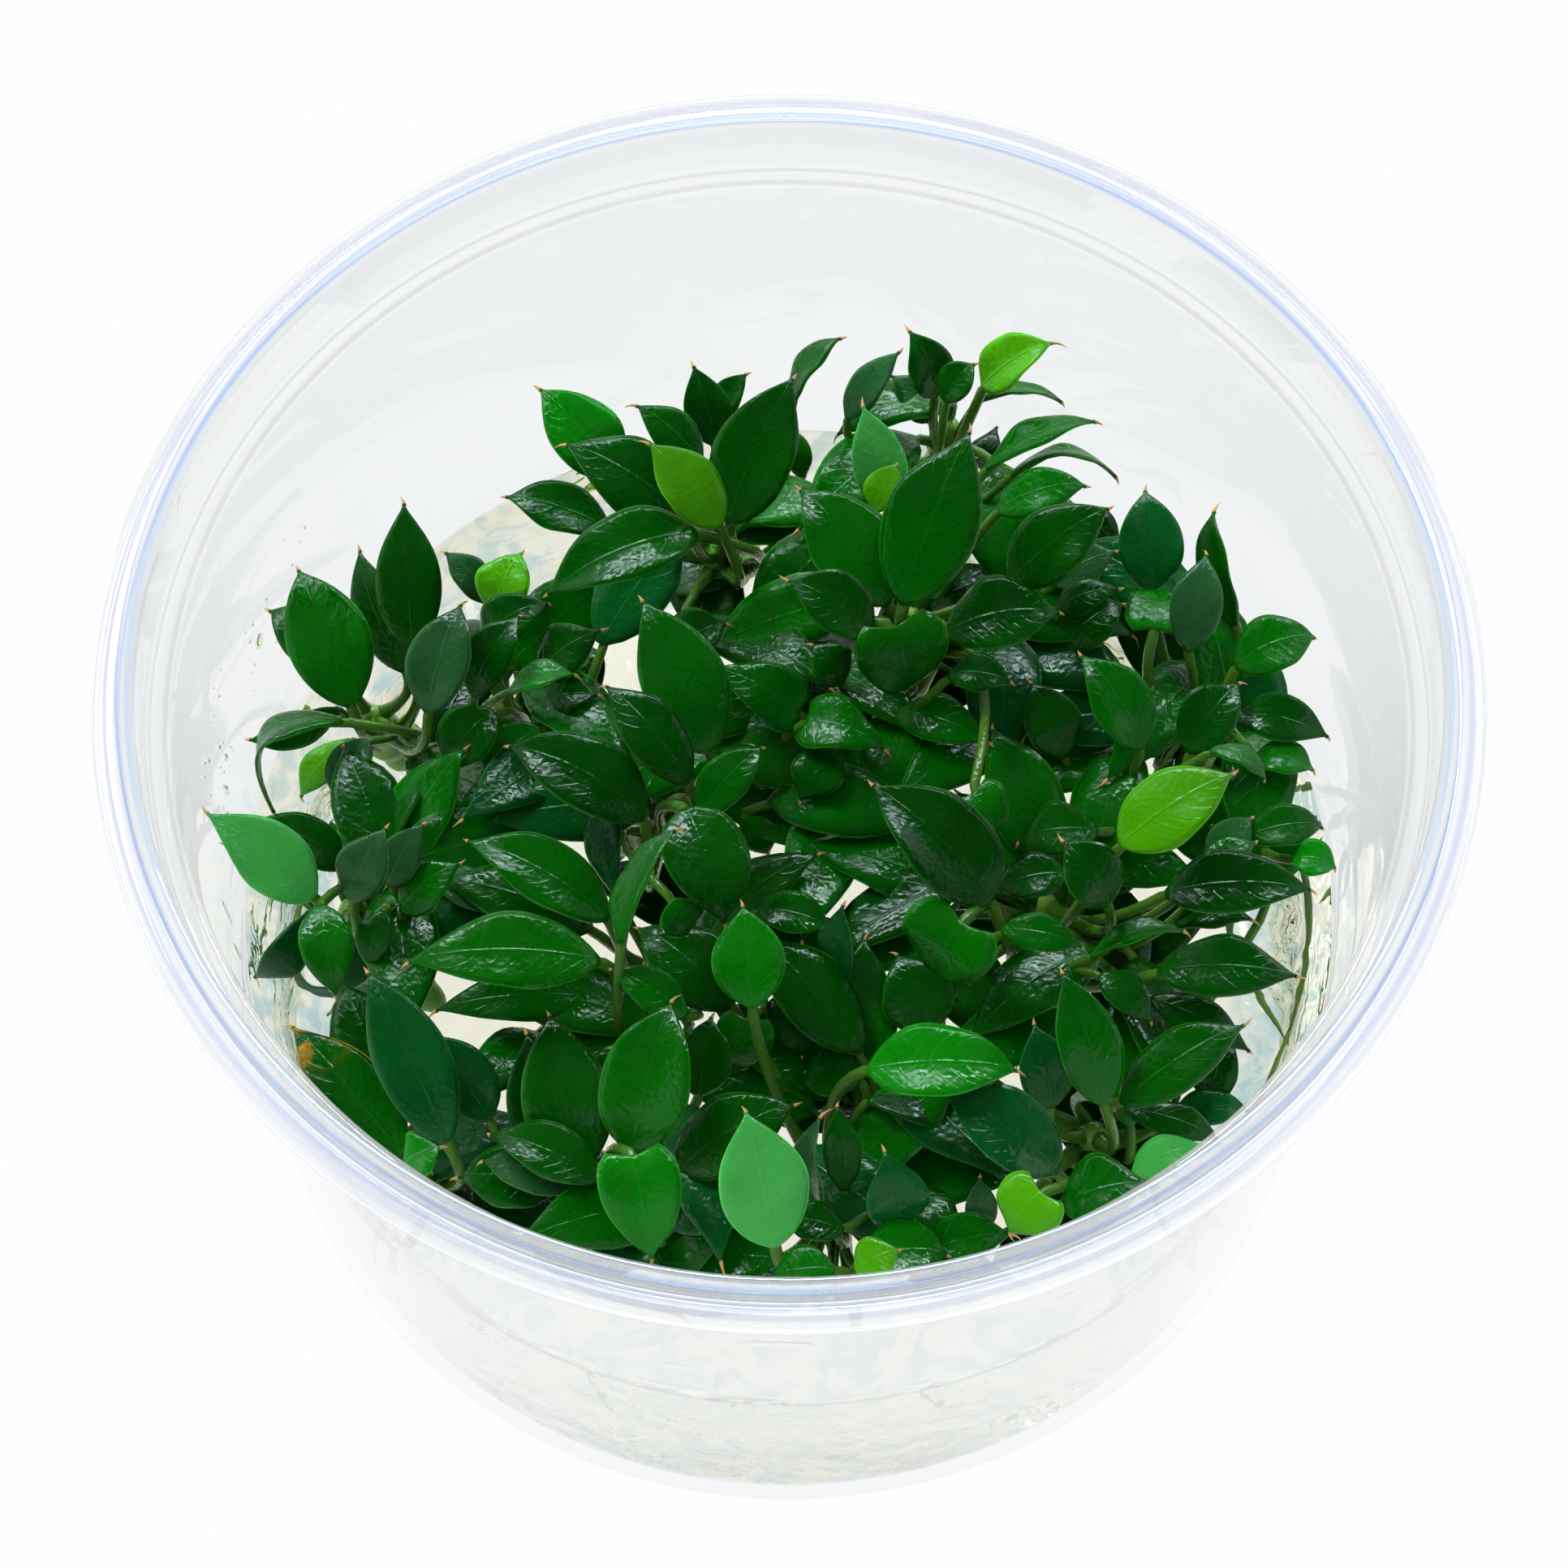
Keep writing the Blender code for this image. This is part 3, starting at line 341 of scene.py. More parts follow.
def blade_point(leaf, t):
    """The midrib's place at t, from 0 at the foot to 1 at the tip, with its direction."""
    foot, tip, _, outward = blade_frame(leaf)
    middle = (foot + tip) / 2 + outward * 2 * leaf.arch
    ahead = ((middle - foot) * (1 - t) + (tip - middle) * t).normalized()
    return along_bend(foot, middle, tip, t), ahead


def half_width(leaf, t):
    return leaf.width / 2 * math.sin(math.pi * t ** FORMS[leaf.form]) ** BLADE_FULLNESS


def rhizome_points(plantlet):
    """From the crown down to the tail, which lies half sunk in the gel."""
    crown = at_height(plantlet.crown)
    heading = math.radians(plantlet.heading)
    run = Vector((math.cos(heading), math.sin(heading), 0.0)) * RHIZOME_REACH
    return [crown + run * s**1.8 - UP * RHIZOME_DROP * (1 - (1 - s) ** 1.6) for s in RHIZOME_STEPS]


def rhizome_radii():
    return [RHIZOME_RADIUS * k for k in RHIZOME_TAPER]


def root_points(plantlet, number):
    """One root, from inside the rhizome's tail down through the gel."""
    heading, reach, end_height = plantlet.roots[number]
    start = rhizome_points(plantlet)[3] - UP * 0.6
    angle = math.radians(heading)
    out = Vector((math.cos(angle), math.sin(angle), 0.0))
    side = Vector((-out.y, out.x, 0.0))
    points = []
    for s in ROOT_STEPS:
        sway = ROOT_SWAY * reach * math.sin(1.15 * math.tau * s + number)
        drop = (start.z - end_height) * s**1.2
        points.append(start + out * reach * s**0.8 + side * sway - UP * drop)
    return points


def stalk_foot(leaf, clearance):
    """Where the stalk leaves the rhizome; clearance below 0 sinks it in."""
    points = rhizome_points(PLANTLETS[leaf.plantlet])
    radii = rhizome_radii()
    along = leaf.spot * (len(points) - 1)
    low = int(along)
    axis = points[low].lerp(points[low + 1], along - low)
    radius = radii[low] + (radii[low + 1] - radii[low]) * (along - low)
    run = (points[low + 1] - points[low]).normalized()
    out = at_height(leaf.base) - axis
    out = (out - run * out.dot(run)).normalized()
    out.rotate(Quaternion(run, math.radians(leaf.turn)))
    return axis + out * (radius + clearance), out


def leaf_sections(leaf, clearance):
    """Sections from the stalk's foot to the blade's tip, each as left, top, right and bottom, half a gap
    outside the leaf itself."""
    foot, tip, across, _ = blade_frame(leaf)
    root, out = stalk_foot(leaf, clearance)
    _, ahead = blade_point(leaf, 0.0)
    reach = (foot - root).length
    bend = (foot - ahead * STALK_BEND * reach).lerp(root + out * reach / 2, STALK_SPRING)
    bend += across * leaf.sway * reach
    radius = STALK_RADIUS + HALF_GAP
    sections = []
    for t in STALK_STEPS:
        centre = along_bend(root, bend, foot, t)
        run = ((bend - root) * (1 - t) + (foot - bend) * t).normalized()
        side = (across - run * across.dot(run)).normalized() * radius
        top = side.cross(run)
        sections.append([centre - side, centre + top, centre + side, centre - top])
    for t in BLADE_STEPS:
        centre, run = blade_point(leaf, t)
        top = across.cross(run)
        half = half_width(leaf, t)
        lift = top * half * BLADE_FOLD
        side = across * (half + HALF_GAP)
        thick = top * (BLADE_THICKNESS / 2 * (1 - BLADE_THINNING * t) + HALF_GAP)
        sections.append([centre - side + lift, centre + thick, centre + side + lift, centre - thick])
    return sections + [[tip + (tip - foot).normalized() * HALF_GAP]]


def loft(sections):
    """Points and faces of a closed solid through the sections, the last of which is one point."""
    points = [point for section in sections for point in section]
    sides = len(sections[0])
    faces = [tuple(range(sides))]
    for ring in range(len(sections) - 1):
        first = ring * sides
        for k in range(sides):
            here, beside = first + k, first + (k + 1) % sides
            if len(sections[ring + 1]) == 1:
                faces.append((here, first + sides, beside))
            else:
                faces += [(here, here + sides, beside + sides), (here, beside + sides, beside)]
    return points, faces


def rhizome_hull(plantlet, spare):
    """A six-sided tube about the rhizome, to test the leaves against."""
    points = rhizome_points(plantlet)
    run = (points[-1] - points[0]).normalized()
    side = run.orthogonal().normalized()
    sections = []
    for point, radius in zip(points, rhizome_radii(), strict=True):
        turns = [Quaternion(run, math.tau * k / 6) for k in range(6)]
        sections.append([point + turn @ side * (radius + spare) for turn in turns])
    return BVHTree.FromPolygons(*loft(sections + [[points[-1] + run * spare]]))


def inner_radius(height):
    """The inside of the cup's wall at a height above its underside."""
    slope = (WALL_TOP_RADIUS - WALL_FOOT_RADIUS) / WALL_TOP_HEIGHT
    return WALL_FOOT_RADIUS + slope * height - WALL


def raised(place, shift):
    return (place[0], place[1], place[2] + shift)


def candidates(leaf, number):
    """The leaf as the table has it, then moved along its line of sight, with its stalk led otherwise."""
    spots = SPOTS[number % len(SPOTS) :] + SPOTS[: number % len(SPOTS)]
    for shift, sway, turn, spot in product(SHIFTS, SWAYS, TURNS, spots):
        base, tip = raised(leaf.base, shift), raised(leaf.tip, shift)
        yield leaf._replace(base=base, tip=tip, spot=spot, turn=turn, sway=sway)


def inside_cup(points):
    return all(math.hypot(p.x, p.y) < inner_radius(p.z) - GAP and p.z < LEAF_TOP for p in points)


def settle(hulls):
    """The leaves of the tables in their places, with a tree of each: a leaf takes the first place where it
    clears the wall, the rhizomes and the leaves before it. A small leaf may grow into others of its
    plantlet where nothing else is free, and one of the smallest is left out where it finds no place."""
    settled = []
    trees = []
    for number, leaf in enumerate(LEAVES + SMALL_LEAVES + TINY_LEAVES):
        small = number >= len(LEAVES)
        others = [hull for name, hull in hulls.items() if name != leaf.plantlet]
        if not small:
            others.append(rhizome_hull(PLANTLETS[leaf.plantlet], 0.0))
        fewest = None
        for moved in candidates(leaf, number):
            points, faces = loft(leaf_sections(moved, -SUNK if small else GAP))
            if not inside_cup(points):
                continue
            tree = BVHTree.FromPolygons(points, faces)
            if any(tree.overlap(other) for other in others):
                continue
            crossed = [k for k, other in enumerate(trees) if tree.overlap(other)]
            free = all(small and k >= len(LEAVES) and settled[k].plantlet == leaf.plantlet for k in crossed)
            if free and (fewest is None or len(crossed) < fewest):
                fewest, best, best_tree = len(crossed), moved, tree
            if not crossed:
                break
        if fewest is not None:
            settled.append(best)
            trees.append(best_tree)
    return settled, trees


# Lower leaves fill the foliage wherever the sight line would still pass between the leaves above. Its
# outline and the gaps that stay open, each with its radius, are read on the level plane
FOLIAGE_EDGE = [
    (-33, -16), (-34, -10), (-35, -5), (-35, 2), (-33, 7), (-29, 12), (-25, 17), (-21, 20), (-17, 21),
    (-17, 27), (-16, 32), (-11, 33), (-6, 36), (-1, 34), (2, 29), (4, 35), (8, 38), (14, 37), (16, 33),
    (21, 27), (27, 24), (32, 20), (36, 14), (39, 9), (39, 2), (39, -5), (35, -10), (30, -11), (28, -14),
    (33, -18), (33, -23), (30, -29), (22, -36), (13, -40), (0, -42), (-13, -41), (-22, -36), (-30, -30),
    (-37, -22),
]
OPEN_GAPS = [
    ((-23.6, -18.4), 3.5), ((-12.9, 11.4), 1.2), ((36.4, -13.6), 2.4),
    ((12.7, -33.1), 0.8), ((-29.5, 5), 1.6),
]
# Lower leaves are sought no nearer to a gap's edge than this, and cross no sight line that passes through
# the gap at this share of its radius
GAP_MARGIN = 0.7
GAP_SHARE = 0.7

# The field where lower leaves are sought: its corner, its breadth and the step from place to place
FILL_CORNER = (-42, -43)
FILL_BREADTH = 84
FILL_STEP = 1.5
# Shares that spread the order of the places, and the leaves' turns and bends, without a pattern
SCATTER = (0.618, 0.755)

# Length and width of the lower leaves, then of the hidden ones beneath them
FILL_SIZES = ((12.0, 5.8), (9.5, 4.8), (7.5, 4.2), (5.5, 3.4))
HIDDEN_SIZES = ((8.5, 5.2), (5.5, 3.8), (4.2, 2.8))
FILL_HEIGHTS = (40, 38, 36, 42, 34, 32, 30, 28)
HIDDEN_HEIGHTS = (31, 33, 29.5, 28, 35)
FILL_TURNS = (0, 35, -35, 75, -75)
FILL_STALKS = ((0.15, 0), (0.45, 35), (0.3, -35))
FILL_TONES = ("deep", "mid", "deep", "dusk", "mid")
# Leaves below this height get the darkest tone: painted shade for the depth of the foliage
DEPTH_SHADE_BELOW = 35


def in_foliage(x, y):
    """Whether a place on the level plane lies inside the foliage's outline."""
    inside = False
    for (ax, ay), (bx, by) in pairwise(FOLIAGE_EDGE + FOLIAGE_EDGE[:1]):
        if (ay > y) != (by > y) and x < ax + (y - ay) * (bx - ax) / (by - ay):
            inside = not inside
    return inside


def on_plane(point):
    """Where a point is seen on the level plane."""
    return EYE + (point - EYE) * (READING_HEIGHT - EYE.z) / (point.z - EYE.z)


def sight_to(x, y):
    """The direction from the eye to a place on the level plane."""
    return (Vector((x, y, READING_HEIGHT)) - EYE).normalized()


def open_sights():
    """Sight lines through each gap that stays open, in a ring within its edge."""
    return [
        sight_to(x + radius * GAP_SHARE * math.cos(k), y + radius * GAP_SHARE * math.sin(k))
        for (x, y), radius in OPEN_GAPS
        for k in range(6)
    ]


def fill_spots():
    """Places all over the foliage, in a scattered order."""
    spots = []
    count = int(FILL_BREADTH / FILL_STEP)
    for row, column in product(range(count), range(count)):
        x = FILL_CORNER[0] + FILL_STEP * (column + 0.5 * (row % 2))
        y = FILL_CORNER[1] + FILL_STEP * row
        closed = all(math.dist((x, y), place) > radius + GAP_MARGIN for place, radius in OPEN_GAPS)
        if closed and in_foliage(x, y):
            spots.append((x, y))
    return sorted(spots, key=lambda spot: (spot[0] * SCATTER[0] + spot[1] * SCATTER[1]) % 1.0)


def fill_candidates(spot, size, number, heights):
    """Leaves of one size over this spot, from the rhizomes nearby."""
    length, width = size
    drift = (number * SCATTER[0]) % 1.0 - 0.5
    arch = 0.6 + 1.2 * ((number * SCATTER[1]) % 1.0)
    near = sorted(PLANTLETS, key=lambda name: math.dist(PLANTLETS[name].crown[:2], spot))[:3]
    for height, name, turn, (along, about) in product(heights, near, FILL_TURNS, FILL_STALKS):
        crown = PLANTLETS[name].crown
        angle = math.atan2(spot[1] - crown[1], spot[0] - crown[0]) + math.radians(turn + 30 * drift)
        half = Vector((math.cos(angle), math.sin(angle), 0.25 + 0.7 * drift)) * length / 2
        middle = Vector((*spot, height))
        # Leaves low in the foliage take the old tone, which is painted shade for their depth
        tone = "old" if height < DEPTH_SHADE_BELOW else FILL_TONES[number % len(FILL_TONES)]
        base, tip = middle - half, middle + half
        yield Leaf(name, tone, base, tip, width, arch, roll=25 * drift, spot=along, turn=about)


def fill(settled, trees, hulls):
    """Adds the lower leaves, the larger ones first, each where the eye would still see between the others.
    The first sizes may cross only the lesser leaves of their own plantlet, the hidden ones any leaf."""
    kept_open = open_sights()
    everyone = list(settled)

    def fitted(leaf, hidden):
        """A tree of the leaf where it fits, or nothing. Its stalk may stray from the foliage's outline."""
        points, faces = loft(leaf_sections(leaf, -SUNK))
        blade = points[4 * len(STALK_STEPS) :]
        if not inside_cup(points) or not all(in_foliage(*on_plane(p).xy) for p in blade):
            return None
        tree = BVHTree.FromPolygons(points, faces)
        crossed = (k for k, other in enumerate(trees) if not hidden and tree.overlap(other))
        blocked = (
            any(tree.overlap(hull) for name, hull in hulls.items() if name != leaf.plantlet)
            or any(k < len(LEAVES) or everyone[k].plantlet != leaf.plantlet for k in crossed)
            or any(tree.ray_cast(EYE, sight)[0] for sight in kept_open)
        )
        return None if blocked else tree

    for size in FILL_SIZES + HIDDEN_SIZES:
        hidden = size in HIDDEN_SIZES
        for number, spot in enumerate(fill_spots()):
            sight = sight_to(*spot)
            if any(tree.ray_cast(EYE, sight)[0] for tree in trees):
                continue
            for leaf in fill_candidates(spot, size, number, HIDDEN_HEIGHTS if hidden else FILL_HEIGHTS):
                tree = fitted(leaf, hidden)
                if tree is not None:
                    everyone.append(leaf)
                    trees.append(tree)
                    break
    return everyone


# Operators


def pick(*pieces):
    """Selects these pieces and nothing else, the first of them active."""
    if bpy.context.object and bpy.context.object.mode != "OBJECT":
        bpy.ops.object.mode_set(mode="OBJECT")
    bpy.ops.object.select_all(action="DESELECT")
    for piece in pieces:
        piece.select_set(True)
    if pieces:
        bpy.context.view_layer.objects.active = pieces[0]


def edit_all(piece):
    pick(piece)
    bpy.ops.object.mode_set(mode="EDIT")
    bpy.ops.mesh.select_all(action="SELECT")


def lengthwise_cuts(piece, cuts):
    """Divides the edges that run along x into even lengths."""
    pick(piece)
    bpy.ops.object.mode_set(mode="EDIT")
    bpy.ops.mesh.select_mode(type="EDGE")
    bpy.ops.mesh.select_all(action="DESELECT")
    bpy.ops.object.mode_set(mode="OBJECT")
    points = piece.data.vertices
    for edge in piece.data.edges:
        a, b = (points[k].co for k in edge.vertices)
        edge.select = abs(a.x - b.x) > 0.5 * (a - b).length
    bpy.ops.object.mode_set(mode="EDIT")
    bpy.ops.mesh.subdivide(number_cuts=cuts)
    bpy.ops.mesh.select_mode(type="VERT")
    bpy.ops.object.mode_set(mode="OBJECT")


def in_place(piece):
    """Puts the piece's place into its mesh."""
    pick(piece)
    bpy.ops.object.transform_apply(location=True, rotation=True, scale=True)


def finish_piece(piece, slot, *nodes, body="root"):
    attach(piece, body)
    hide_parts(*nodes)


# Blanks: each is modelled once, laid out straight along x, and copied onto every place it has

STEM_SIDES = 16
STEM_RINGS = 40
ROOT_SIDES = 8
ROOT_RINGS = 36
# A leaf blank's corners below the first x are its stalk, those beyond the second its point
STALK_END = -0.5
POINT_START = 1.5


def rod_blank(name, sides, rings, start):
    """A closed round rod of radius 1 and length 1 from x = start, divided into even rings."""
    pick()
    bpy.ops.mesh.primitive_cone_add(
        vertices=sides,
        radius1=1.0,
        radius2=1.0,
        depth=1.0,
        location=(start + 0.5, 0, 0),
        rotation=(0, math.pi / 2, 0),
    )
    rod = bpy.context.object
    rod.name = name
    in_place(rod)
    lengthwise_cuts(rod, rings - 1)
    return rod


def leaf_blank(name, rings, lines, stalk, point):
    """One flat leaf: the stalk from x = -2 to -1, the blade from 0 to 1 and its point from 2 to 3. The
    blade is 2 wide and 1 thick. The stalk and the point are given as sides and rings."""
    pick()
    bpy.ops.mesh.primitive_grid_add(x_subdivisions=rings, y_subdivisions=lines, size=2.0)
    blade = bpy.context.object
    blade.name = name
    edit_all(blade)
    bpy.ops.transform.resize(value=(0.5, 1.0, 1.0))
    bpy.ops.transform.translate(value=(0.5, 0.0, -0.5))
    bpy.ops.mesh.extrude_region_move(TRANSFORM_OT_translate={"value": (0.0, 0.0, 1.0)})
    bpy.ops.mesh.select_all(action="SELECT")
    bpy.ops.mesh.normals_make_consistent(inside=False)
    bpy.ops.object.mode_set(mode="OBJECT")
    pick(blade, rod_blank(name + "_stalk", *stalk, -2.0), rod_blank(name + "_point", *point, 2.0))
    bpy.ops.object.join()
    bpy.ops.object.shade_smooth()
    laid = laid_out(blade)
    x = laid[:, 0]
    on_stalk, on_point = x < STALK_END, x > POINT_START
    note(blade, "along", np.select([on_stalk, on_point], [x + 1.0, x - 1.0], x))
    note(blade, "across", np.where(on_stalk | on_point, 0.0, laid[:, 1]))
    note(blade, "under", np.where(on_stalk | on_point, 0.0, 0.5 - laid[:, 2]))
    return blade


def laid_out(piece):
    """The piece's corners as an array."""
    corners = np.empty(len(piece.data.vertices) * 3)
    piece.data.vertices.foreach_get("co", corners)
    return corners.reshape(-1, 3)


def note(piece, name, values):
    """Writes one number per corner, for the materials to read."""
    layer = piece.data.attributes.get(name) or piece.data.attributes.new(name, "FLOAT", "POINT")
    layer.data.foreach_set("value", np.asarray(values, np.float32))


def copied(blank, name, corners, material):
    """A copy of the blank with a mesh of its own, its corners moved to their places in millimetres."""
    piece = blank.copy()
    piece.data = blank.data.copy()
    piece.name = name
    piece.data.name = name
    piece.data.vertices.foreach_set("co", (corners * MM).astype(np.float32).ravel())
    piece.data.materials.clear()
    piece.data.materials.append(material)
    bpy.context.scene.collection.objects.link(piece)
    return piece


def unit(rows):
    return rows / np.linalg.norm(rows, axis=-1, keepdims=True)


def round_about(centres, runs, side, y, z, radii):
    """Places points about a line: y along the side direction and z along the upper one."""
    sides = unit(side - runs * (runs @ side)[:, None])
    uppers = np.cross(sides, runs)
    return centres + (sides * y[:, None] + uppers * z[:, None]) * radii[:, None]


def bend_line(start, middle, end, t):
    t = t[:, None]
    centres = start * (1 - t) ** 2 + middle * 2 * t * (1 - t) + end * t**2
    runs = unit((middle - start) * (1 - t) + (end - middle) * t)
    return centres, runs


# How a blade is shaped beyond its outline, and from where and how deep the stalk runs on beneath it
LOBE = 0.16
WAVE = 0.05
TIP_HOOK = 0.05
TIP_DRAWN = 0.32
TWIST = 10.0
EDGE_WIDTH = 0.12
POINT_LENGTH = 1.0
POINT_RADIUS = 0.14
STALK_FREE = 0.75
UNDER_BLADE = 0.22


def midrib(leaf):
    """The blade's foot, middle and tip and the direction across it, as arrays."""
    foot, tip, across, outward = (np.array(v) for v in blade_frame(leaf))
    return foot, (foot + tip) / 2 + outward * 2 * leaf.arch, tip, across


def blade_corners(leaf, t, v, thick, habit):
    """t runs from the blade's foot to its tip, v across it from -1 to 1."""
    foot, middle, tip, across = midrib(leaf)
    centres, runs = bend_line(foot, middle, tip, t)
    uppers = np.cross(across, runs)
    turn = np.radians(TWIST) * (habit[0] * 2 - 1) * t
    sides = across * np.cos(turn)[:, None] + uppers * np.sin(turn)[:, None]
    uppers = np.cross(sides, runs)
    fullness = BLADE_FULLNESS + TIP_DRAWN * ((t - 0.55) / 0.45).clip(0, 1)
    full = leaf.width / 2 * np.sin(np.pi * np.clip(t, 0, 1) ** FORMS[leaf.form]).clip(0) ** fullness
    half = np.hypot(full, EDGE_WIDTH * (0.5 + 2.5 * (1 - t) ** 6))
    lobe = LOBE if leaf.form == "heart" else 0.0
    back = lobe * leaf.width * v**2 * (1 - t) ** 3 * (t > 0)
    ripple = np.sin(math.tau * (1.1 * t + habit[1])) * v * abs(v)
    ripple += 0.7 * np.sin(math.tau * (1.9 * t + habit[2])) * v**2
    lift = half * BLADE_FOLD * abs(v) ** 1.5 * (0.4 + 1.4 * habit[2])
    lift += leaf.width * WAVE * ripple * np.sin(np.pi * t)
    lift -= half * 0.10 * abs(v) ** 6
    lift -= leaf.width * TIP_HOOK * ((t - 0.75).clip(0) / 0.25) ** 2 * habit[1] * 2
    lift += thick * (0.5 - 0.2 * t) * (1 - 0.72 * v**2)
    return centres - runs * back[:, None] + sides * (half * v)[:, None] + uppers * lift[:, None]


def stalk_corners(leaf, s, y, z, _):
    """s runs from 0 in the rhizome to 1, where the stalk has thinned out along the blade's underside."""
    foot, middle, tip, across = midrib(leaf)
    start, out = (np.array(v) for v in stalk_foot(leaf, -SUNK))
    ahead = bend_line(foot, middle, tip, np.zeros(1))[1][0]
    reach = np.linalg.norm(foot - start)
    bend = (foot - ahead * STALK_BEND * reach) * (1 - STALK_SPRING)
    bend += (start + out * reach / 2) * STALK_SPRING + across * leaf.sway * reach
    rising = s <= STALK_FREE
    beneath = ((s - STALK_FREE) / (1 - STALK_FREE)).clip(0)
    lower = bend_line(start, bend, foot, (s / STALK_FREE).clip(0, 1))
    upper = bend_line(foot, middle, tip, beneath.clip(0, 1) * 0.5)
    centres = np.where(rising[:, None], lower[0], upper[0] - np.cross(across, upper[1]) * UNDER_BLADE)
    runs = np.where(rising[:, None], lower[1], upper[1])
    slender = 0.26 + 0.032 * leaf.width
    swollen = slender * (1 + 0.9 * (1 - s / 0.3).clip(0) ** 2)
    radii = np.where(rising, swollen, slender * (1 - 0.85 * beneath))
    return round_about(centres, runs, across, y, z, radii)


def point_corners(leaf, s, y, z, habit):
    """s runs from 0 just inside the blade's tip to 1 at the end of its fine bent point."""
    foot, middle, tip, across = midrib(leaf)
    run = bend_line(foot, middle, tip, np.ones(1))[1][0]
    upper = np.cross(across, run)
    length = POINT_LENGTH * (0.7 + 0.6 * habit[0]) * min(1.0, leaf.width / 4.5)
    lean = -0.5 * upper + (habit[2] - 0.5) * across
    hook = leaf.width * TIP_HOOK * habit[1] * 2
    start = tip - upper * hook - run * 0.1
    centres = start + np.outer(s, run) * length + np.outer(s**2, lean) * length
    runs = unit(run + np.outer(2 * s, lean))
    radii = POINT_RADIUS * (1.3 - 1.25 * s) + 0.005
    return round_about(centres, runs, across, y, z, radii)


def leaf_corners(leaf, laid, habit):
    """The blank's corners bent onto one leaf. Its habit is three numbers from 0 to 1 that make it differ
    from the others."""
    corners = np.empty_like(laid)
    x, y, z = laid.T
    stalk, point = x < STALK_END, x > POINT_START
    parts = ((~(stalk | point), 0, blade_corners), (stalk, 2, stalk_corners), (point, -2, point_corners))
    for part, shift, bent in parts:
        corners[part] = bent(leaf, x[part] + shift, y[part], z[part], habit)
    return corners


def through(points, t):
    """A smooth line through all the points, and its direction, at each t from 0 to 1."""
    points = np.array(points)
    padded = np.vstack([2 * points[0] - points[1], points, 2 * points[-1] - points[-2]])
    along = np.clip(t, 0, 1) * (len(points) - 1)
    k = np.minimum(along.astype(int), len(points) - 2)
    f = (along - k)[:, None]
    a, b, c, d = (padded[k + n] for n in range(4))
    line = 0.5 * (2 * b + (c - a) * f + (2 * a - 5 * b + 4 * c - d) * f**2 + (3 * b - a - 3 * c + d) * f**3)
    run = 0.5 * ((c - a) + 2 * (2 * a - 5 * b + 4 * c - d) * f + 3 * (3 * b - a - 3 * c + d) * f**2)
    return line, unit(run)


# The direction from which every rod's corners are laid round
ROD_SIDE = (0.31, 0.2, 0.93)


def rod_corners(points, radius_at, laid):
    """A straight rod's corners bent along a line, with its own radius at each place."""
    t = laid[:, 0]
    centres, runs = through(points, t)
    return round_about(centres, runs, np.array(ROD_SIDE), laid[:, 1], laid[:, 2], radius_at(t))


def habits(count):
    """Three numbers from 0 to 1 for each leaf, spread by the golden ratio so that neighbours differ."""
    steps = np.arange(1, count + 1)[:, None] * np.array([0.61803, 0.75488, 0.56984])
    return steps % 1.0


# Finishes


class Nodes:
    """Adds nodes to a material or the surroundings, already wired."""

    def __init__(self, tree):
        self.tree = tree

    def add(self, kind, wires=None, **settings):
        node = self.tree.nodes.new("ShaderNode" + kind)
        for key, value in settings.items():
            setattr(node, key, value)
        for key, value in (wires or {}).items():
            self.wire(node.inputs[key], value)
        return node

    def wire(self, socket, value):
        if isinstance(value, bpy.types.NodeSocket):
            self.tree.links.new(value, socket)
        else:
            socket.default_value = value

    def place(self):
        return self.add("TexCoord").outputs["Object"]

    def noise(self, scale, detail=2.0, distortion=0.0):
        wires = {"Vector": self.place(), "Scale": scale, "Detail": detail, "Distortion": distortion}
        return self.add("TexNoise", wires).outputs["Fac"]

    def noted(self, name):
        return self.add("Attribute", attribute_name=name).outputs["Fac"]

    def math(self, operation, a, b=0.0):
        return self.add("Math", {0: a, 1: b}, operation=operation).outputs[0]

    def times(self, a, b):
        return self.math("MULTIPLY", a, b)

    def plus(self, a, b):
        return self.math("ADD", a, b)

    def off_axis(self):
        """The distance from the upright axis, and the height."""
        apart = self.add("SeparateXYZ", {0: self.place()})
        x, y, height = (apart.outputs[axis] for axis in "XYZ")
        return self.math("SQRT", self.plus(self.times(x, x), self.times(y, y))), height

    def between(self, value, low, high, to_low=0.0, to_high=1.0):
        """The value's place between low and high, smoothly, as a number from to_low to to_high."""
        wires = {"Value": value, "From Min": low, "From Max": high, "To Min": to_low, "To Max": to_high}
        return self.add("MapRange", wires, interpolation_type="SMOOTHSTEP").outputs["Result"]

    def blend(self, share, first, second):
        node = self.add("Mix", data_type="RGBA")
        for socket, value in (("Factor", share), (6, first), (7, second)):
            value = (*value, 1.0) if isinstance(value, tuple) and len(value) == 3 else value
            self.wire(node.inputs[socket], value)
        return node.outputs[2]

    def bump(self, height, strength, distance, normal=None):
        wires = {"Height": height, "Strength": strength, "Distance": distance}
        if normal:
            wires["Normal"] = normal
        return self.add("Bump", wires).outputs["Normal"]


class Finish(Nodes):
    """A material and the nodes that make it."""

    def __init__(self, name):
        self.material = bpy.data.materials.new(name)
        self.material.use_nodes = True
        super().__init__(self.material.node_tree)
        self.shader = self.tree.nodes["Principled BSDF"]
        self.output = self.tree.nodes["Material Output"]

    def set(self, **values):
        for key, value in values.items():
            self.wire(self.shader.inputs[key.replace("_", " ")], value)


def altered(colour, factor, more=(0.0, 0.0, 0.0)):
    """A colour times a factor, with a little more of red, green and blue."""
    return tuple(min(1.0, c * factor + extra) for c, extra in zip(colour, more, strict=True))


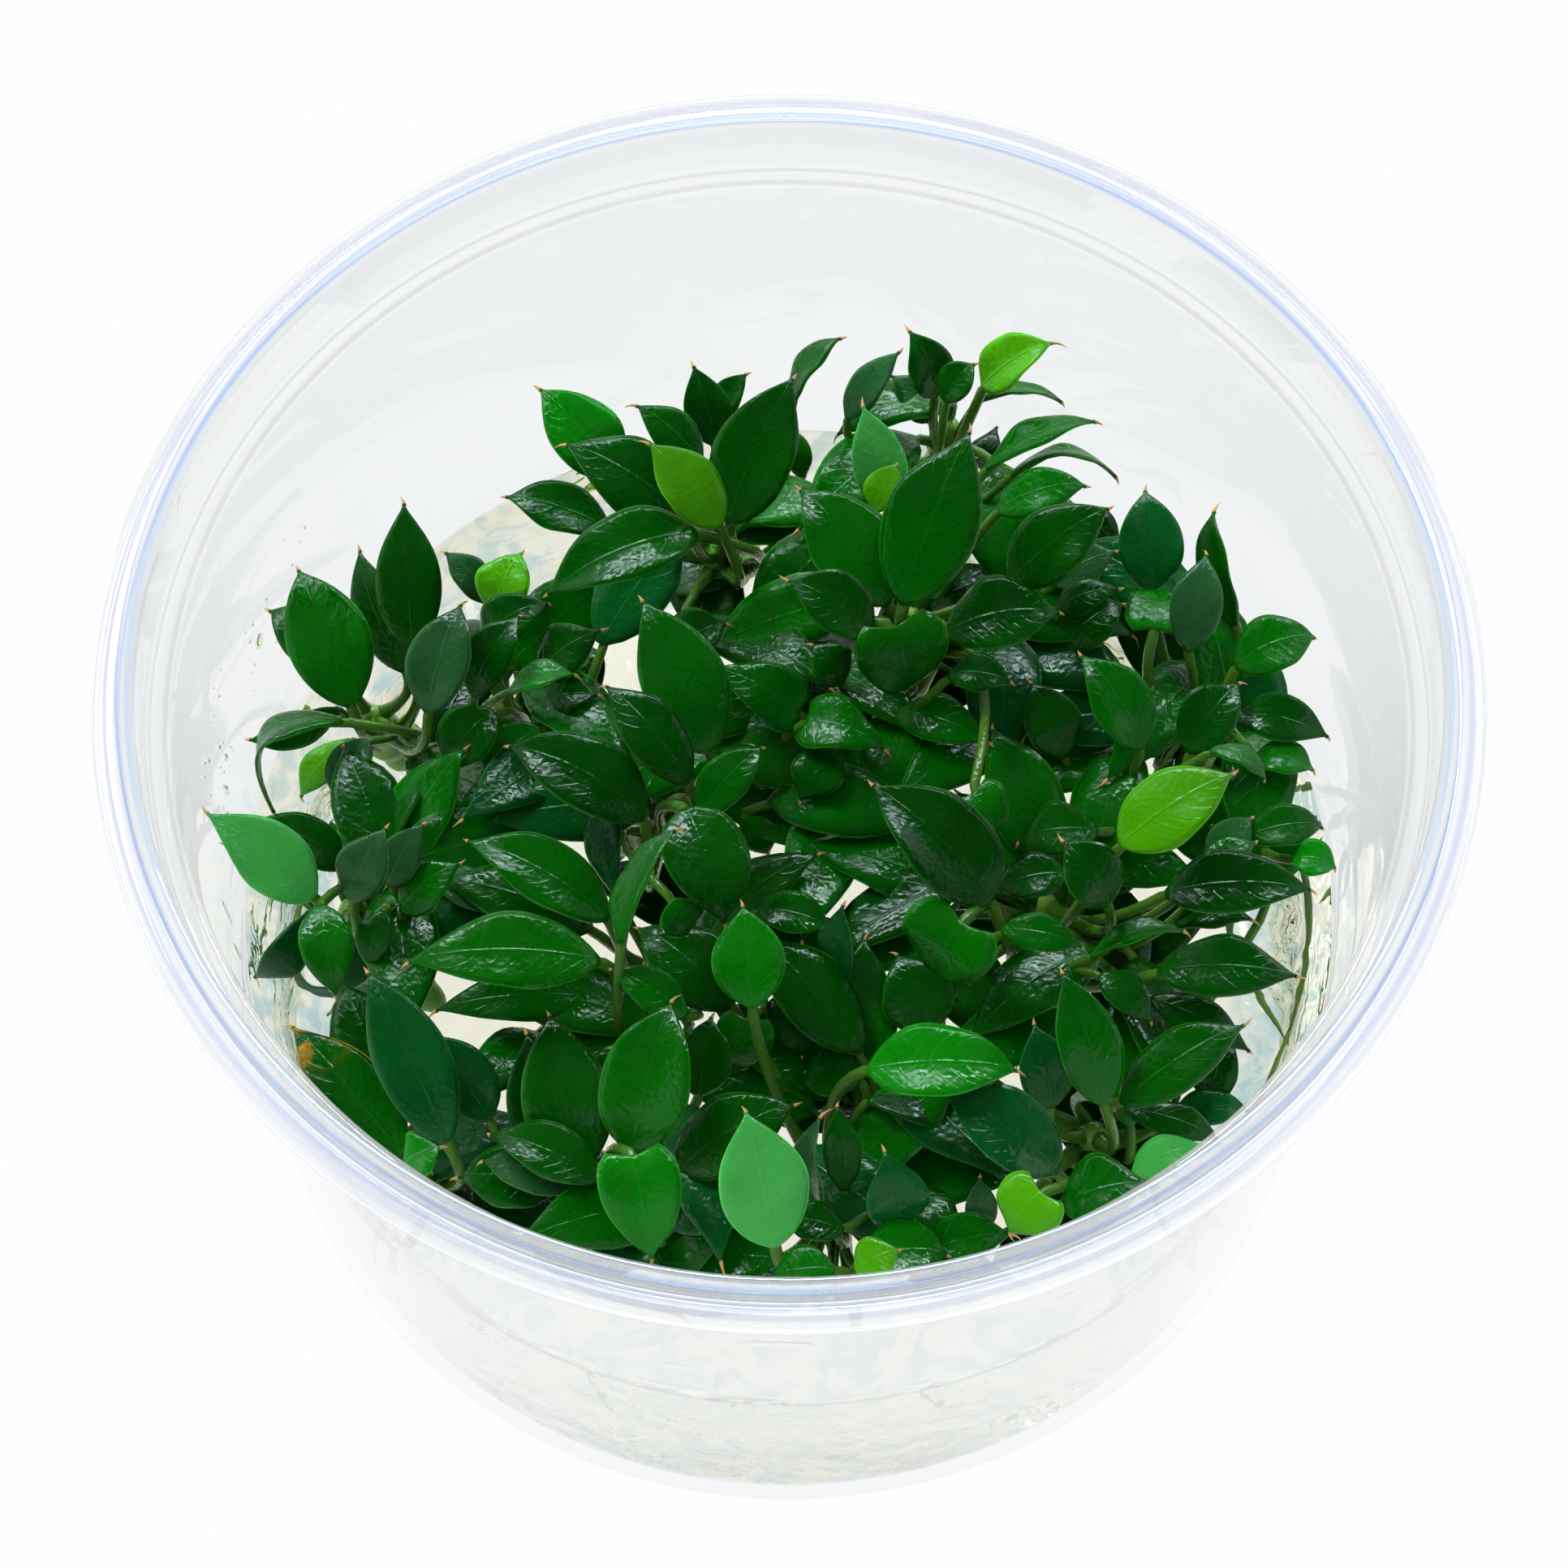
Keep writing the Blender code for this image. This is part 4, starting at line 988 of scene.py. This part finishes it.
# The upper face and the underside of each leaf tone
LEAF_TONES = {
    # The old tone is painted shade: the darkest green, given to the lowest leaves for the depth of the
    # foliage
    "old": ((0.0002, 0.022, 0.0002), (0.004, 0.028, 0.003)),
    "deep": ((0.0003, 0.048, 0.0003), (0.012, 0.070, 0.009)),
    "mid": ((0.0003, 0.080, 0.0004), (0.018, 0.105, 0.010)),
    "fresh": ((0.0010, 0.155, 0.0008), (0.035, 0.190, 0.016)),
    # The light tone is partly the leaf's own pale green and partly painted sheen, which gives its bluish
    # pallor
    "light": ((0.0400, 0.300, 0.0500), (0.070, 0.250, 0.050)),
    "young": ((0.0480, 0.250, 0.0005), (0.130, 0.360, 0.010)),
    # The grey tone is partly the paler underside showing and partly painted sheen
    "grey": ((0.0120, 0.070, 0.0170), (0.035, 0.090, 0.035)),
    # The dusk tone is dark green with a bluish cast of painted sheen
    "dusk": ((0.0006, 0.058, 0.0080), (0.020, 0.075, 0.024)),
    "edged": ((0.0012, 0.080, 0.0010), (0.040, 0.110, 0.020)),
}
VEIN_COUNT = 9.0
VEIN_SWEEP = 2.2
OLD_EDGE = (0.42, 0.30, 0.015)
OLD_PATCH = (0.40, 0.20, 0.004)
STALK_GREENS = ((0.020, 0.10, 0.005), (0.07, 0.19, 0.016))
POINT_TAN = (0.55, 0.30, 0.10)


def leaf_finish(tone):
    """A glossy leaf: even green, slightly paler veins and midrib, a paler margin with a painted highlight, a
    pale stalk and a tan point.
    """
    upper, below = LEAF_TONES[tone]
    finish = Finish("leaf " + tone)
    along = finish.noted("along")
    across = finish.math("ABSOLUTE", finish.noted("across"))
    mottle = finish.noise(190.0, 1.0, 0.4)
    green = finish.blend(finish.between(mottle, 0.3, 0.7), altered(upper, 0.86), altered(upper, 1.12))
    shade = finish.between(finish.noted("shade"), 0.0, 1.0, 0.0, 0.8)
    green = finish.blend(shade, green, altered(upper, 1.4, (0.001, 0.012, 0.0)))
    green = finish.blend(finish.between(along, 0.25, 1.0, 0.0, 0.35), green, altered(upper, 0.7))

    sweep = finish.times(finish.math("POWER", across, 1.5), VEIN_SWEEP)
    ranks = finish.math("SUBTRACT", finish.times(along, VEIN_COUNT), sweep)
    line = finish.math("PINGPONG", finish.plus(ranks, finish.times(mottle, 0.5)), 0.5)
    vein = finish.between(line, 0.0, 0.10, 1.0, 0.0)
    midrib_line = finish.between(across, 0.01, 0.06, 1.0, 0.0)
    on_blade = finish.between(along, -0.02, 0.02)
    margin = finish.between(across, 0.94, 0.985)
    pale = altered(upper, 1.35, (0.004, 0.025, 0.001))
    foot = finish.between(along, 0.0, 0.22, 0.55, 0.0)
    for share in (finish.times(vein, 0.12), finish.times(midrib_line, 0.22), foot):
        green = finish.blend(share, green, pale)
    # The paler margin is partly the leaf's own and partly a painted highlight of the edge catching light;
    # the edged tone's orange margin is its own colour
    edge = altered(upper, 1.8, (0.012, 0.08, 0.001))
    if tone == "edged":
        edge = OLD_EDGE
        patch = finish.between(finish.noise(330.0, 2.0, 1.0), 0.48, 0.6)
        green = finish.blend(finish.times(patch, finish.between(along, 0.62, 0.95)), green, OLD_PATCH)
    green = finish.blend(finish.times(margin, 0.7), green, edge)
    green = finish.blend(finish.between(finish.noted("under"), 0.4, 0.6), green, below)
    colour = finish.blend(on_blade, finish.blend(mottle, *STALK_GREENS), green)
    colour = finish.blend(finish.between(along, 1.0, 1.2), colour, POINT_TAN)

    grain = finish.bump(finish.noise(2500.0, 0.0), 0.9, 0.00006)
    ribs = finish.plus(finish.times(vein, -0.35), finish.times(midrib_line, -1.0))
    ribs = finish.plus(ribs, finish.between(across, 0.86, 0.95))
    relief = finish.bump(finish.times(ribs, on_blade), 0.35, 0.0001, grain)
    roughness = finish.between(finish.noise(900.0, 0.0), 0.3, 0.7, 0.16, 0.27)
    finish.set(Base_Color=colour, Normal=relief, Roughness=roughness, Specular_IOR_Level=0.2)
    return finish.material


def rhizome_finish():
    """A smooth light green creeping stem, with faint rings where old leaves stood and a few tan spots."""
    finish = Finish("rhizome")
    mottle = finish.noise(300.0, 2.0, 0.6)
    green = finish.blend(mottle, (0.05, 0.19, 0.010), (0.19, 0.40, 0.045))
    ranks = finish.plus(finish.times(finish.noted("along"), 9.0), finish.times(mottle, 0.4))
    scar = finish.between(finish.math("PINGPONG", ranks, 0.5), 0.0, 0.10, 1.0, 0.0)
    colour = finish.blend(finish.times(scar, 0.3), green, (0.10, 0.12, 0.02))
    spots = finish.between(finish.noise(250.0, 2.0), 0.62, 0.70, 0.0, 0.6)
    colour = finish.blend(spots, colour, (0.22, 0.15, 0.05))
    grain = finish.bump(finish.noise(2600.0, 3.0), 0.2, 0.00008)
    finish.set(Base_Color=colour, Roughness=0.36, Normal=finish.bump(scar, 0.25, 0.00015, grain))
    return finish.material


def root_finish():
    """Roots: dark green where old, light green and yellowish towards their tips."""
    finish = Finish("roots")
    old = finish.blend(finish.noise(350.0, 2.0), (0.012, 0.075, 0.030), (0.05, 0.14, 0.05))
    colour = finish.blend(finish.between(finish.noted("along"), 0.35, 0.95), old, (0.24, 0.42, 0.06))
    finish.set(Base_Color=colour, Roughness=0.5, Normal=finish.bump(finish.noise(3000.0, 2.0), 0.3, 0.00008))
    return finish.material


# In metres, as the materials read them. A fine dark line of painted shade marks the step below the neck at
# this height
STEP_LINE = 0.0572
STEP_PAINTED_SHADE = (0.45, 0.42, 0.38)
# Bluish rings of painted reflection on the rim: from and to which radius, above which height, and the tint
RIM_PAINTED_REFLECTIONS = [
    (0.0470, 0.0475, 0.0616, (0.50, 0.66, 0.93)),
    (0.04795, 0.0482, 0.0600, (0.22, 0.38, 0.86)),
    (0.0487, 0.0492, 0.0600, (0.72, 0.74, 0.94)),
    (0.0496, 0.0499, 0.0600, (0.78, 0.80, 0.92)),
]
RING_FADE = 0.00012


def plastic_finish(name, gloss, tints):
    """Clear moulded plastic with faint waves. Its gloss is all in a coat, because walls this thin hardly
    bend the light.
    The blend of tints is uneven, with a dark line of painted shade at the step and bluish rings of painted
    reflection."""
    finish = Finish(name)
    radius, height = finish.off_axis()
    colour = finish.blend(finish.noise(35.0, 1.0, 1.0), *tints)
    # A fine dark line of painted shade at the step
    off_step = finish.math("ABSOLUTE", finish.math("SUBTRACT", height, STEP_LINE))
    colour = finish.blend(finish.between(off_step, 0.00004, 0.00012, 0.5, 0.0), colour, STEP_PAINTED_SHADE)
    # Bluish rings of painted reflection on the rim
    for low, high, above, tint in RIM_PAINTED_REFLECTIONS:
        inside = finish.between(radius, low - RING_FADE, low + RING_FADE)
        outside = finish.between(radius, high - RING_FADE, high + RING_FADE, 1.0, 0.0)
        top = finish.between(height, above, above + 0.0002)
        colour = finish.blend(finish.times(top, finish.times(inside, outside)), colour, tint)
    ripple = finish.bump(finish.noise(90.0, 1.0, 0.6), 0.12, 0.0004)
    finish.set(Base_Color=colour, Roughness=0.0, IOR=1.0, Transmission_Weight=1.0, Normal=ripple)
    finish.set(Coat_Weight=1.0, Coat_IOR=gloss, Coat_Roughness=0.0, Coat_Normal=ripple)
    return finish.material


def gel_finish():
    """Clear nutrient gel, pale cream in depth, with an uneven skin and bluish streaks of painted refraction
    along the wall.
    """
    finish = Finish("nutrient gel")
    radius, _ = finish.off_axis()
    # The bluish streaks near the wall are painted refraction
    streaks = finish.between(finish.noise(260.0, 2.0, 1.6), 0.40, 0.62)
    edge = finish.blend(streaks, (0.98, 0.98, 0.90), (0.50, 0.70, 0.76))
    colour = finish.blend(finish.between(radius, 0.0335, 0.038), (1.0, 0.985, 0.90), edge)
    skin = finish.bump(finish.noise(170.0, 2.0, 1.2), 0.35, 0.0008)
    finish.set(Base_Color=colour, Roughness=0.02, IOR=1.34, Transmission_Weight=1.0, Normal=skin)
    depth = finish.add("VolumeAbsorption", {"Color": (0.98, 0.92, 0.62, 1.0), "Density": 10.0})
    finish.wire(finish.output.inputs["Volume"], depth.outputs[0])
    return finish.material


def water_finish():
    finish = Finish("water drops")
    skin = finish.bump(finish.noise(900.0, 1.0), 0.1, 0.0001)
    water = (0.97, 0.985, 1.0, 1.0)
    finish.set(Base_Color=water, Roughness=0.0, IOR=1.33, Transmission_Weight=1.0, Normal=skin)
    return finish.material


# Turned pieces


def arc(centre, radius, start, end, count):
    """Points on an arc of a profile, from one angle to another in degrees."""
    angles = [math.radians(start + (end - start) * k / count) for k in range(count + 1)]
    return [(centre[0] + radius * math.cos(a), centre[1] + radius * math.sin(a)) for a in angles]


def eased(profile, radius):
    """The profile with each of its corners rounded off."""
    points = [Vector(p) for p in profile]
    smooth = [points[0]]
    for before, corner, after in zip(points, points[1:], points[2:]):
        near = min(radius, 0.45 * (before - corner).length, 0.45 * (after - corner).length)
        first = corner + (before - corner).normalized() * near
        last = corner + (after - corner).normalized() * near
        smooth += [along_bend(first, corner, last, k / 3) for k in range(4)]
    return smooth + [points[-1]]


def spun(name, profile):
    """A turned piece: one corner is extruded along the profile and the line is spun about the axis."""
    pick()
    bpy.ops.mesh.primitive_plane_add(size=MM)
    piece = bpy.context.object
    piece.name = name
    edit_all(piece)
    bpy.ops.mesh.select_mode(type="VERT")
    bpy.ops.mesh.merge(type="CENTER")
    bpy.ops.transform.translate(value=(profile[0][0] * MM, 0.0, profile[0][1] * MM))
    for here, there in pairwise(profile):
        step = ((there[0] - here[0]) * MM, 0.0, (there[1] - here[1]) * MM)
        bpy.ops.mesh.extrude_region_move(TRANSFORM_OT_translate={"value": step})
    bpy.ops.mesh.select_all(action="SELECT")
    bpy.ops.mesh.spin(steps=TURN_SIDES, angle=math.tau, center=(0, 0, 0), axis=(0, 0, 1))
    bpy.ops.mesh.select_all(action="SELECT")
    bpy.ops.mesh.remove_doubles(threshold=1e-6)
    bpy.ops.mesh.normals_make_consistent(inside=False)
    bpy.ops.object.mode_set(mode="OBJECT")
    return piece


EASE_RADIUS = 0.35


def cup_profile():
    """Up the inside from the floor, over the lip and down the outside to the underside."""
    inner_corner = CORNER - WALL
    foot = (inner_radius(CORNER) - inner_corner, FLOOR + inner_corner)
    step = WALL_TOP_HEIGHT - GAP
    inside = [(inner_radius(step), step), (inner_radius(step) + 0.3, step + 0.5)]
    inside += [(NECK_RADIUS - NECK_WALL - 0.3, step + 0.8), (NECK_RADIUS - NECK_WALL, step + 1.3)]
    lip = [(NECK_RADIUS - 0.8, CUP_HEIGHT - 0.9), (NECK_RADIUS - 0.6, CUP_HEIGHT - 0.2)]
    lip += [(NECK_RADIUS - 0.1, CUP_HEIGHT), (NECK_RADIUS + 0.5, CUP_HEIGHT - 0.3)]
    lip += [(NECK_RADIUS + 0.7, RIM_HEIGHT + 0.3)]
    rim = [(RIM_RADIUS - 1.3, RIM_HEIGHT + 0.2), (RIM_RADIUS - 0.5, RIM_HEIGHT + 0.5)]
    rim += [(RIM_RADIUS, RIM_HEIGHT), (RIM_RADIUS, RIM_HEIGHT - RIM_SKIRT)]
    rim += [(RIM_RADIUS - 0.6, RIM_HEIGHT - RIM_SKIRT - 0.2), (RIM_RADIUS - 0.8, RIM_HEIGHT - 0.7)]
    rim += [(NECK_RADIUS + 0.5, RIM_HEIGHT - 0.6), (NECK_RADIUS + 0.1, RIM_HEIGHT - 1.2)]
    neck = [(NECK_RADIUS, step + 1.9), (NECK_RADIUS - 0.9, step + 0.9), (inner_radius(step) + WALL, step)]
    corner = (inner_radius(CORNER) + WALL - CORNER, CORNER)
    stepped = eased(inside + lip + rim + neck, EASE_RADIUS)
    start = [(0.0, FLOOR)] + arc(foot, inner_corner, -90, -5, 10)
    return start + stepped + arc(corner, CORNER, -5, -90, 10) + [(0.0, 0.0)]


GEL_RINGS = 26
GEL_SKIN_WAVE = 0.12
GEL_EDGE = 3
OFF_PLASTIC = 0.06


def gel_profile():
    """From the middle of the top out to the wall, down it and back along the floor."""
    wall = inner_radius(GEL_LEVEL) - OFF_PLASTIC
    flat = wall - GEL_EDGE
    top = [(flat * k / GEL_RINGS, GEL_LEVEL) for k in range(GEL_RINGS + 1)]
    top += [(wall - GEL_EDGE * (1 - k / 8), GEL_LEVEL + MENISCUS * (k / 8) ** 2.5) for k in range(1, 9)]
    inner_corner = CORNER - WALL
    foot = (inner_radius(CORNER) - OFF_PLASTIC - inner_corner, FLOOR + OFF_PLASTIC + inner_corner)
    side = [(inner_radius(h) - OFF_PLASTIC, h) for h in range(23, 7, -2)]
    return top + side + arc(foot, inner_corner, -5, -90, 8) + [(0.0, FLOOR + OFF_PLASTIC)]


SMOOTH_ANGLE = math.radians(50)
RIM_MARGIN = 0.4
# The coat's gloss and the two tints of the walls, then of the rim's level and outer faces
PLASTICS = (
    ("clear plastic", 1.4, ((0.88, 0.905, 0.92), (0.93, 0.945, 0.955))),
    ("clear rim", 3.0, ((0.96, 0.965, 0.985), (0.97, 0.975, 0.985))),
)


def make_cup():
    cup = spun("clear_cup", cup_profile())
    pick(cup)
    bpy.ops.object.shade_smooth_by_angle(angle=SMOOTH_ANGLE)
    for name, gloss, tints in PLASTICS:
        cup.data.materials.append(plastic_finish(name, gloss, tints))
    rim = []
    for face in cup.data.polygons:
        level = abs(face.normal.z) > 0.5 and face.center.z > (RIM_HEIGHT - RIM_SKIRT - RIM_MARGIN) * MM
        rim.append(level or face.center.xy.length > (NECK_RADIUS + RIM_MARGIN) * MM)
    cup.data.polygons.foreach_set("material_index", np.array(rim, dtype=np.int32))
    finish_piece(cup, "cup", "cup")


def make_gel():
    gel = spun("clear_gel", gel_profile())
    laid = laid_out(gel) / MM
    x, y, height = laid.T
    on_top = (height > GEL_LEVEL - 0.01) & (np.hypot(x, y) < inner_radius(GEL_LEVEL) - 0.5)
    wave = np.sin(0.55 * x + 0.9 * np.sin(0.31 * y)) + np.sin(0.47 * y + 1.3 * np.sin(0.27 * x))
    wave += 0.6 * np.sin(0.9 * (x + y))
    laid[:, 2] += np.where(on_top, GEL_SKIN_WAVE * wave, 0.0)
    gel.data.vertices.foreach_set("co", (laid * MM).astype(np.float32).ravel())
    pick(gel)
    bpy.ops.object.shade_smooth_by_angle(angle=SMOOTH_ANGLE)
    gel.data.materials.append(gel_finish())
    finish_piece(gel, "gel", "nutrient_gel")


# The plants


def stem_radius(t):
    rings = 1 + 0.09 * np.cos(math.tau * 6 * t) + 0.05 * np.sin(math.tau * 2.3 * t)
    ends = np.minimum(1.0, np.sqrt(np.clip(np.minimum(t + 0.02, 1.02 - t) / 0.1, 0, 1)))
    return np.interp(t, RHIZOME_STEPS, rhizome_radii()) * rings * ends


def root_radius(t):
    taper = ROOT_RADIUS * (0.85 - 0.45 * t)
    return taper * (1 + 0.12 * np.sin(math.tau * 5 * t)) * np.sqrt(np.clip((1.01 - t) / 0.06, 0, 1))


# Longer roots that show through the gel, each from its rhizome's tail on through these places
LONG_ROOTS = {
    "right": [
        [(36.5, 5, 26.3), (39.8, 3, 25.4), (40.4, -3, 22), (38.8, -9.5, 17)],
        [(37, 9, 25.6), (38.6, 11.2, 20), (37, 14.5, 12)],
    ],
    "front_right": [[(28, -22, 24), (35, -17.5, 21), (39, -8.5, 18.5)]],
    "far_left": [[(-30, -27, 17), (-34.5, -20.5, 12), (-37.5, -12, 8)]],
    "left_low": [[(-37, -6, 20), (-39.3, 0, 14), (-38.5, 9, 9)]],
}


def make_leaves(grown):
    """Every leaf: those of the first table are finished as pieces, the others are added to what has grown
    on their plantlet."""
    hulls = {name: rhizome_hull(plantlet, HALF_GAP) for name, plantlet in PLANTLETS.items()}
    settled, trees = settle(hulls)
    everyone = fill(settled, trees, hulls)
    fine = leaf_blank("fine_leaf", 22, 10, (8, 11), (6, 4))
    plain = leaf_blank("plain_leaf", 11, 4, (5, 5), (4, 2))
    finishes = {tone: leaf_finish(tone) for tone in LEAF_TONES}
    numbers = dict.fromkeys(PLANTLETS, 0)
    for index, (leaf, habit) in enumerate(zip(everyone, habits(len(everyone)), strict=True)):
        blank = fine if index < len(settled) else plain
        corners = leaf_corners(leaf, laid_out(blank), habit)
        piece = copied(blank, f"{leaf.plantlet}_small_{index}", corners, finishes[leaf.tone])
        note(piece, "shade", np.full(len(corners), habit[1]))
        if index >= len(LEAVES):
            grown[leaf.plantlet].append(piece)
            continue
        numbers[leaf.plantlet] += 1
        piece.name = piece.data.name = f"{leaf.plantlet}_leaf_{numbers[leaf.plantlet]}"
        finish_piece(piece, "leaf_" + leaf.tone, f"leaf_{leaf.plantlet}_{numbers[leaf.plantlet]}")
    pick(fine, plain)
    bpy.ops.object.delete()


def make_plants():
    grown = {name: [] for name in PLANTLETS}
    make_leaves(grown)
    stem = rod_blank("stem_blank", STEM_SIDES, STEM_RINGS, 0.0)
    root = rod_blank("root_blank", ROOT_SIDES, ROOT_RINGS, 0.0)
    for rod in (stem, root):
        note(rod, "along", laid_out(rod)[:, 0])
        pick(rod)
        bpy.ops.object.shade_smooth()
    stem_laid, root_laid = laid_out(stem), laid_out(root)
    rhizome_material, root_material = rhizome_finish(), root_finish()
    for name, plantlet in PLANTLETS.items():
        line = rod_corners(rhizome_points(plantlet), stem_radius, stem_laid)
        body = copied(stem, name + "_plantlet", line, rhizome_material)
        roots = [root_points(plantlet, number) for number in range(len(plantlet.roots))]
        roots += [[roots[0][0], *places] for places in LONG_ROOTS.get(name, ())]
        for number, points in enumerate(roots):
            line = rod_corners(points, root_radius, root_laid)
            grown[name].append(copied(root, f"{name}_root_{number}", line, root_material))
        pick(body, *grown[name])
        bpy.ops.object.join()
        finish_piece(body, "rhizome", "plantlet_" + name)
    pick(stem, root)
    bpy.ops.object.delete()


# Water drops on the inside of the wall: angle from the front in degrees, height, width and length
DROPS = [
    (-1.3, 41.0, 6.0, 0.7), (-10.5, 33.0, 3.6, 0.6), (-9.5, 27.6, 3.0, 0.6), (-110.0, 40.0, 1.2, 1.8),
    (-97.0, 39.0, 0.6, 1.0), (-94.5, 37.2, 0.7, 1.1), (-92.5, 36.0, 0.5, 0.8), (-81.0, 36.5, 0.5, 4.6),
    (-78.5, 33.5, 0.4, 3.2), (17.0, 45.0, 2.2, 0.5), (28.0, 37.0, 1.6, 0.5), (-31.0, 44.0, 1.4, 0.5),
]
# Where finer drops lie: how many, the angles, the heights, the widths and length as a share of width
SPRAYS = [(34, (-40, 42), (26.2, 28.6), (0.7, 2.6), 0.3), (44, (-122, -90), (35, 46), (0.15, 0.45), 1.3)]
DROP_DEPTH = 0.2
DROP_CLEARANCE = 0.05


def all_drops():
    """The drops of the table and the finer ones, at random places that stay the same each time."""
    drops = list(DROPS)
    for count, (left, right), (low, high), (small, large), share in SPRAYS:
        for a, b, c in np.random.default_rng(count).random((count, 3)):
            wide = small + (large - small) * c**2
            drops.append((left + (right - left) * a, low + (high - low) * b, wide, share * wide))
    return drops


def make_drops():
    pick()
    bpy.ops.mesh.primitive_uv_sphere_add(segments=12, ring_count=8, radius=1.0)
    blank = bpy.context.object
    bpy.ops.object.shade_smooth()
    x, y, z = laid_out(blank).T
    material = water_finish()
    upright = np.array((0.0, 0.0, 1.0))
    pieces = []
    for number, (angle, height, wide, long) in enumerate(all_drops()):
        turn = math.radians(angle)
        out = np.array((math.sin(turn), -math.cos(turn), 0.0))
        side = np.array((math.cos(turn), math.sin(turn), 0.0))
        rise = upright + out * (inner_radius(1.0) - inner_radius(0.0))
        depth = min(DROP_DEPTH, 0.35 * long)
        centre = out * (inner_radius(height) - depth - DROP_CLEARANCE) + upright * height
        corners = centre + np.outer(x * wide / 2, side) + np.outer(y * depth, out)
        corners += np.outer(z * long / 2, rise)
        pieces.append(copied(blank, f"wall_drop_{number}", corners, material))
    pick(blank)
    bpy.ops.object.delete()
    pick(*pieces)
    bpy.ops.object.join()
    pieces[0].name = "wall_droplets"
    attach(pieces[0], "root")


# The floor, the light and the camera

FLOOR_SIZE = 6.0
FLOOR_GLOW = 0.99


def make_floor():
    """A plain white floor that takes no shadow, just below the cup."""
    pick()
    bpy.ops.mesh.primitive_plane_add(size=FLOOR_SIZE, location=(0, 0, -0.0001))
    floor = bpy.context.object
    floor.name = "studio_floor"
    in_place(floor)
    finish = Finish("white floor")
    finish.set(Base_Color=(0.0, 0.0, 0.0, 1.0), Roughness=0.9, Specular_IOR_Level=0.0)
    finish.set(Emission_Color=(1.0, 1.0, 1.0, 1.0), Emission_Strength=FLOOR_GLOW)
    floor.data.materials.append(finish.material)


def soft_box(name, place, size, power, colour=(1.0, 1.0, 1.0), mirrored=True, lights=True):
    """A rectangular lamp that faces the cup. It is mirrored in shiny faces, lights dull ones, or both."""
    light = bpy.data.lights.new(name, "AREA")
    light.shape = "RECTANGLE"
    light.size, light.size_y = size
    light.energy = power
    light.color = colour
    lamp = bpy.data.objects.new(name, light)
    lamp.location = place
    lamp.rotation_euler = (Vector((0, 0, 0.04)) - Vector(place)).to_track_quat("-Z", "Y").to_euler()
    lamp.visible_glossy = mirrored
    lamp.visible_diffuse = lights
    bpy.context.scene.collection.objects.link(lamp)


def make_light():
    """A white room. What is seen past the cup or through it is white all round. Shiny faces mirror another
    room, with a bright low back wall under a dark ceiling, so that only leaves that lean back shine."""
    world = bpy.data.worlds.new("white studio")
    bpy.context.scene.world = world
    world.use_nodes = True
    room = Nodes(world.node_tree)
    apart = room.add("SeparateXYZ", {0: room.add("TexCoord").outputs["Generated"]})
    back, up = apart.outputs["Y"], apart.outputs["Z"]
    wall = room.blend(room.between(back, -0.3, 0.6), (0.25, 0.28, 0.32), (3.6, 4.1, 4.6))
    seen = room.blend(room.between(up, 0.12, 0.46), wall, (0.03, 0.035, 0.05))
    low = room.blend(room.between(up, 0.0, 0.2), (1.0, 1.0, 1.0), (0.86, 0.89, 0.95))
    through = room.blend(room.between(up, 0.62, 0.82), low, (0.88, 0.915, 0.985))
    path = room.add("LightPath")
    clear = room.math("MAXIMUM", path.outputs["Is Singular Ray"], path.outputs["Is Transmission Ray"])
    clear = room.math("MAXIMUM", clear, path.outputs["Is Camera Ray"])
    room.wire(world.node_tree.nodes["Background"].inputs["Color"], room.blend(clear, seen, through))
    soft_box("back_box", (0.0, 0.62, 0.45), (0.9, 0.09), 9.0, (0.80, 0.92, 1.0), lights=False)
    soft_box("key_box", (-0.38, 0.34, 0.62), (0.3, 0.3), 4.5, (1.0, 1.0, 0.97), mirrored=False)
    soft_box("top_box", (0.1, -0.15, 0.85), (0.7, 0.7), 2.6, mirrored=False)


LENS = 128.2
SENSOR = 36.0
CAMERA_PLACE = (-0.36, -190.5, 413.8)
CAMERA_TILT = 27.3


def make_camera():
    camera = bpy.data.cameras.new("photo_camera")
    camera.lens = LENS
    camera.sensor_width = SENSOR
    camera.clip_start = 0.01
    holder = bpy.data.objects.new("photo_camera", camera)
    holder.location = Vector(CAMERA_PLACE) * MM
    holder.rotation_euler = (math.radians(CAMERA_TILT), 0.0, 0.0)
    bpy.context.scene.collection.objects.link(holder)
    bpy.context.scene.camera = holder
    bpy.context.scene.view_settings.view_transform = "Standard"


make_camera()
make_light()
make_floor()
make_plants()
make_cup()
make_gel()
make_drops()
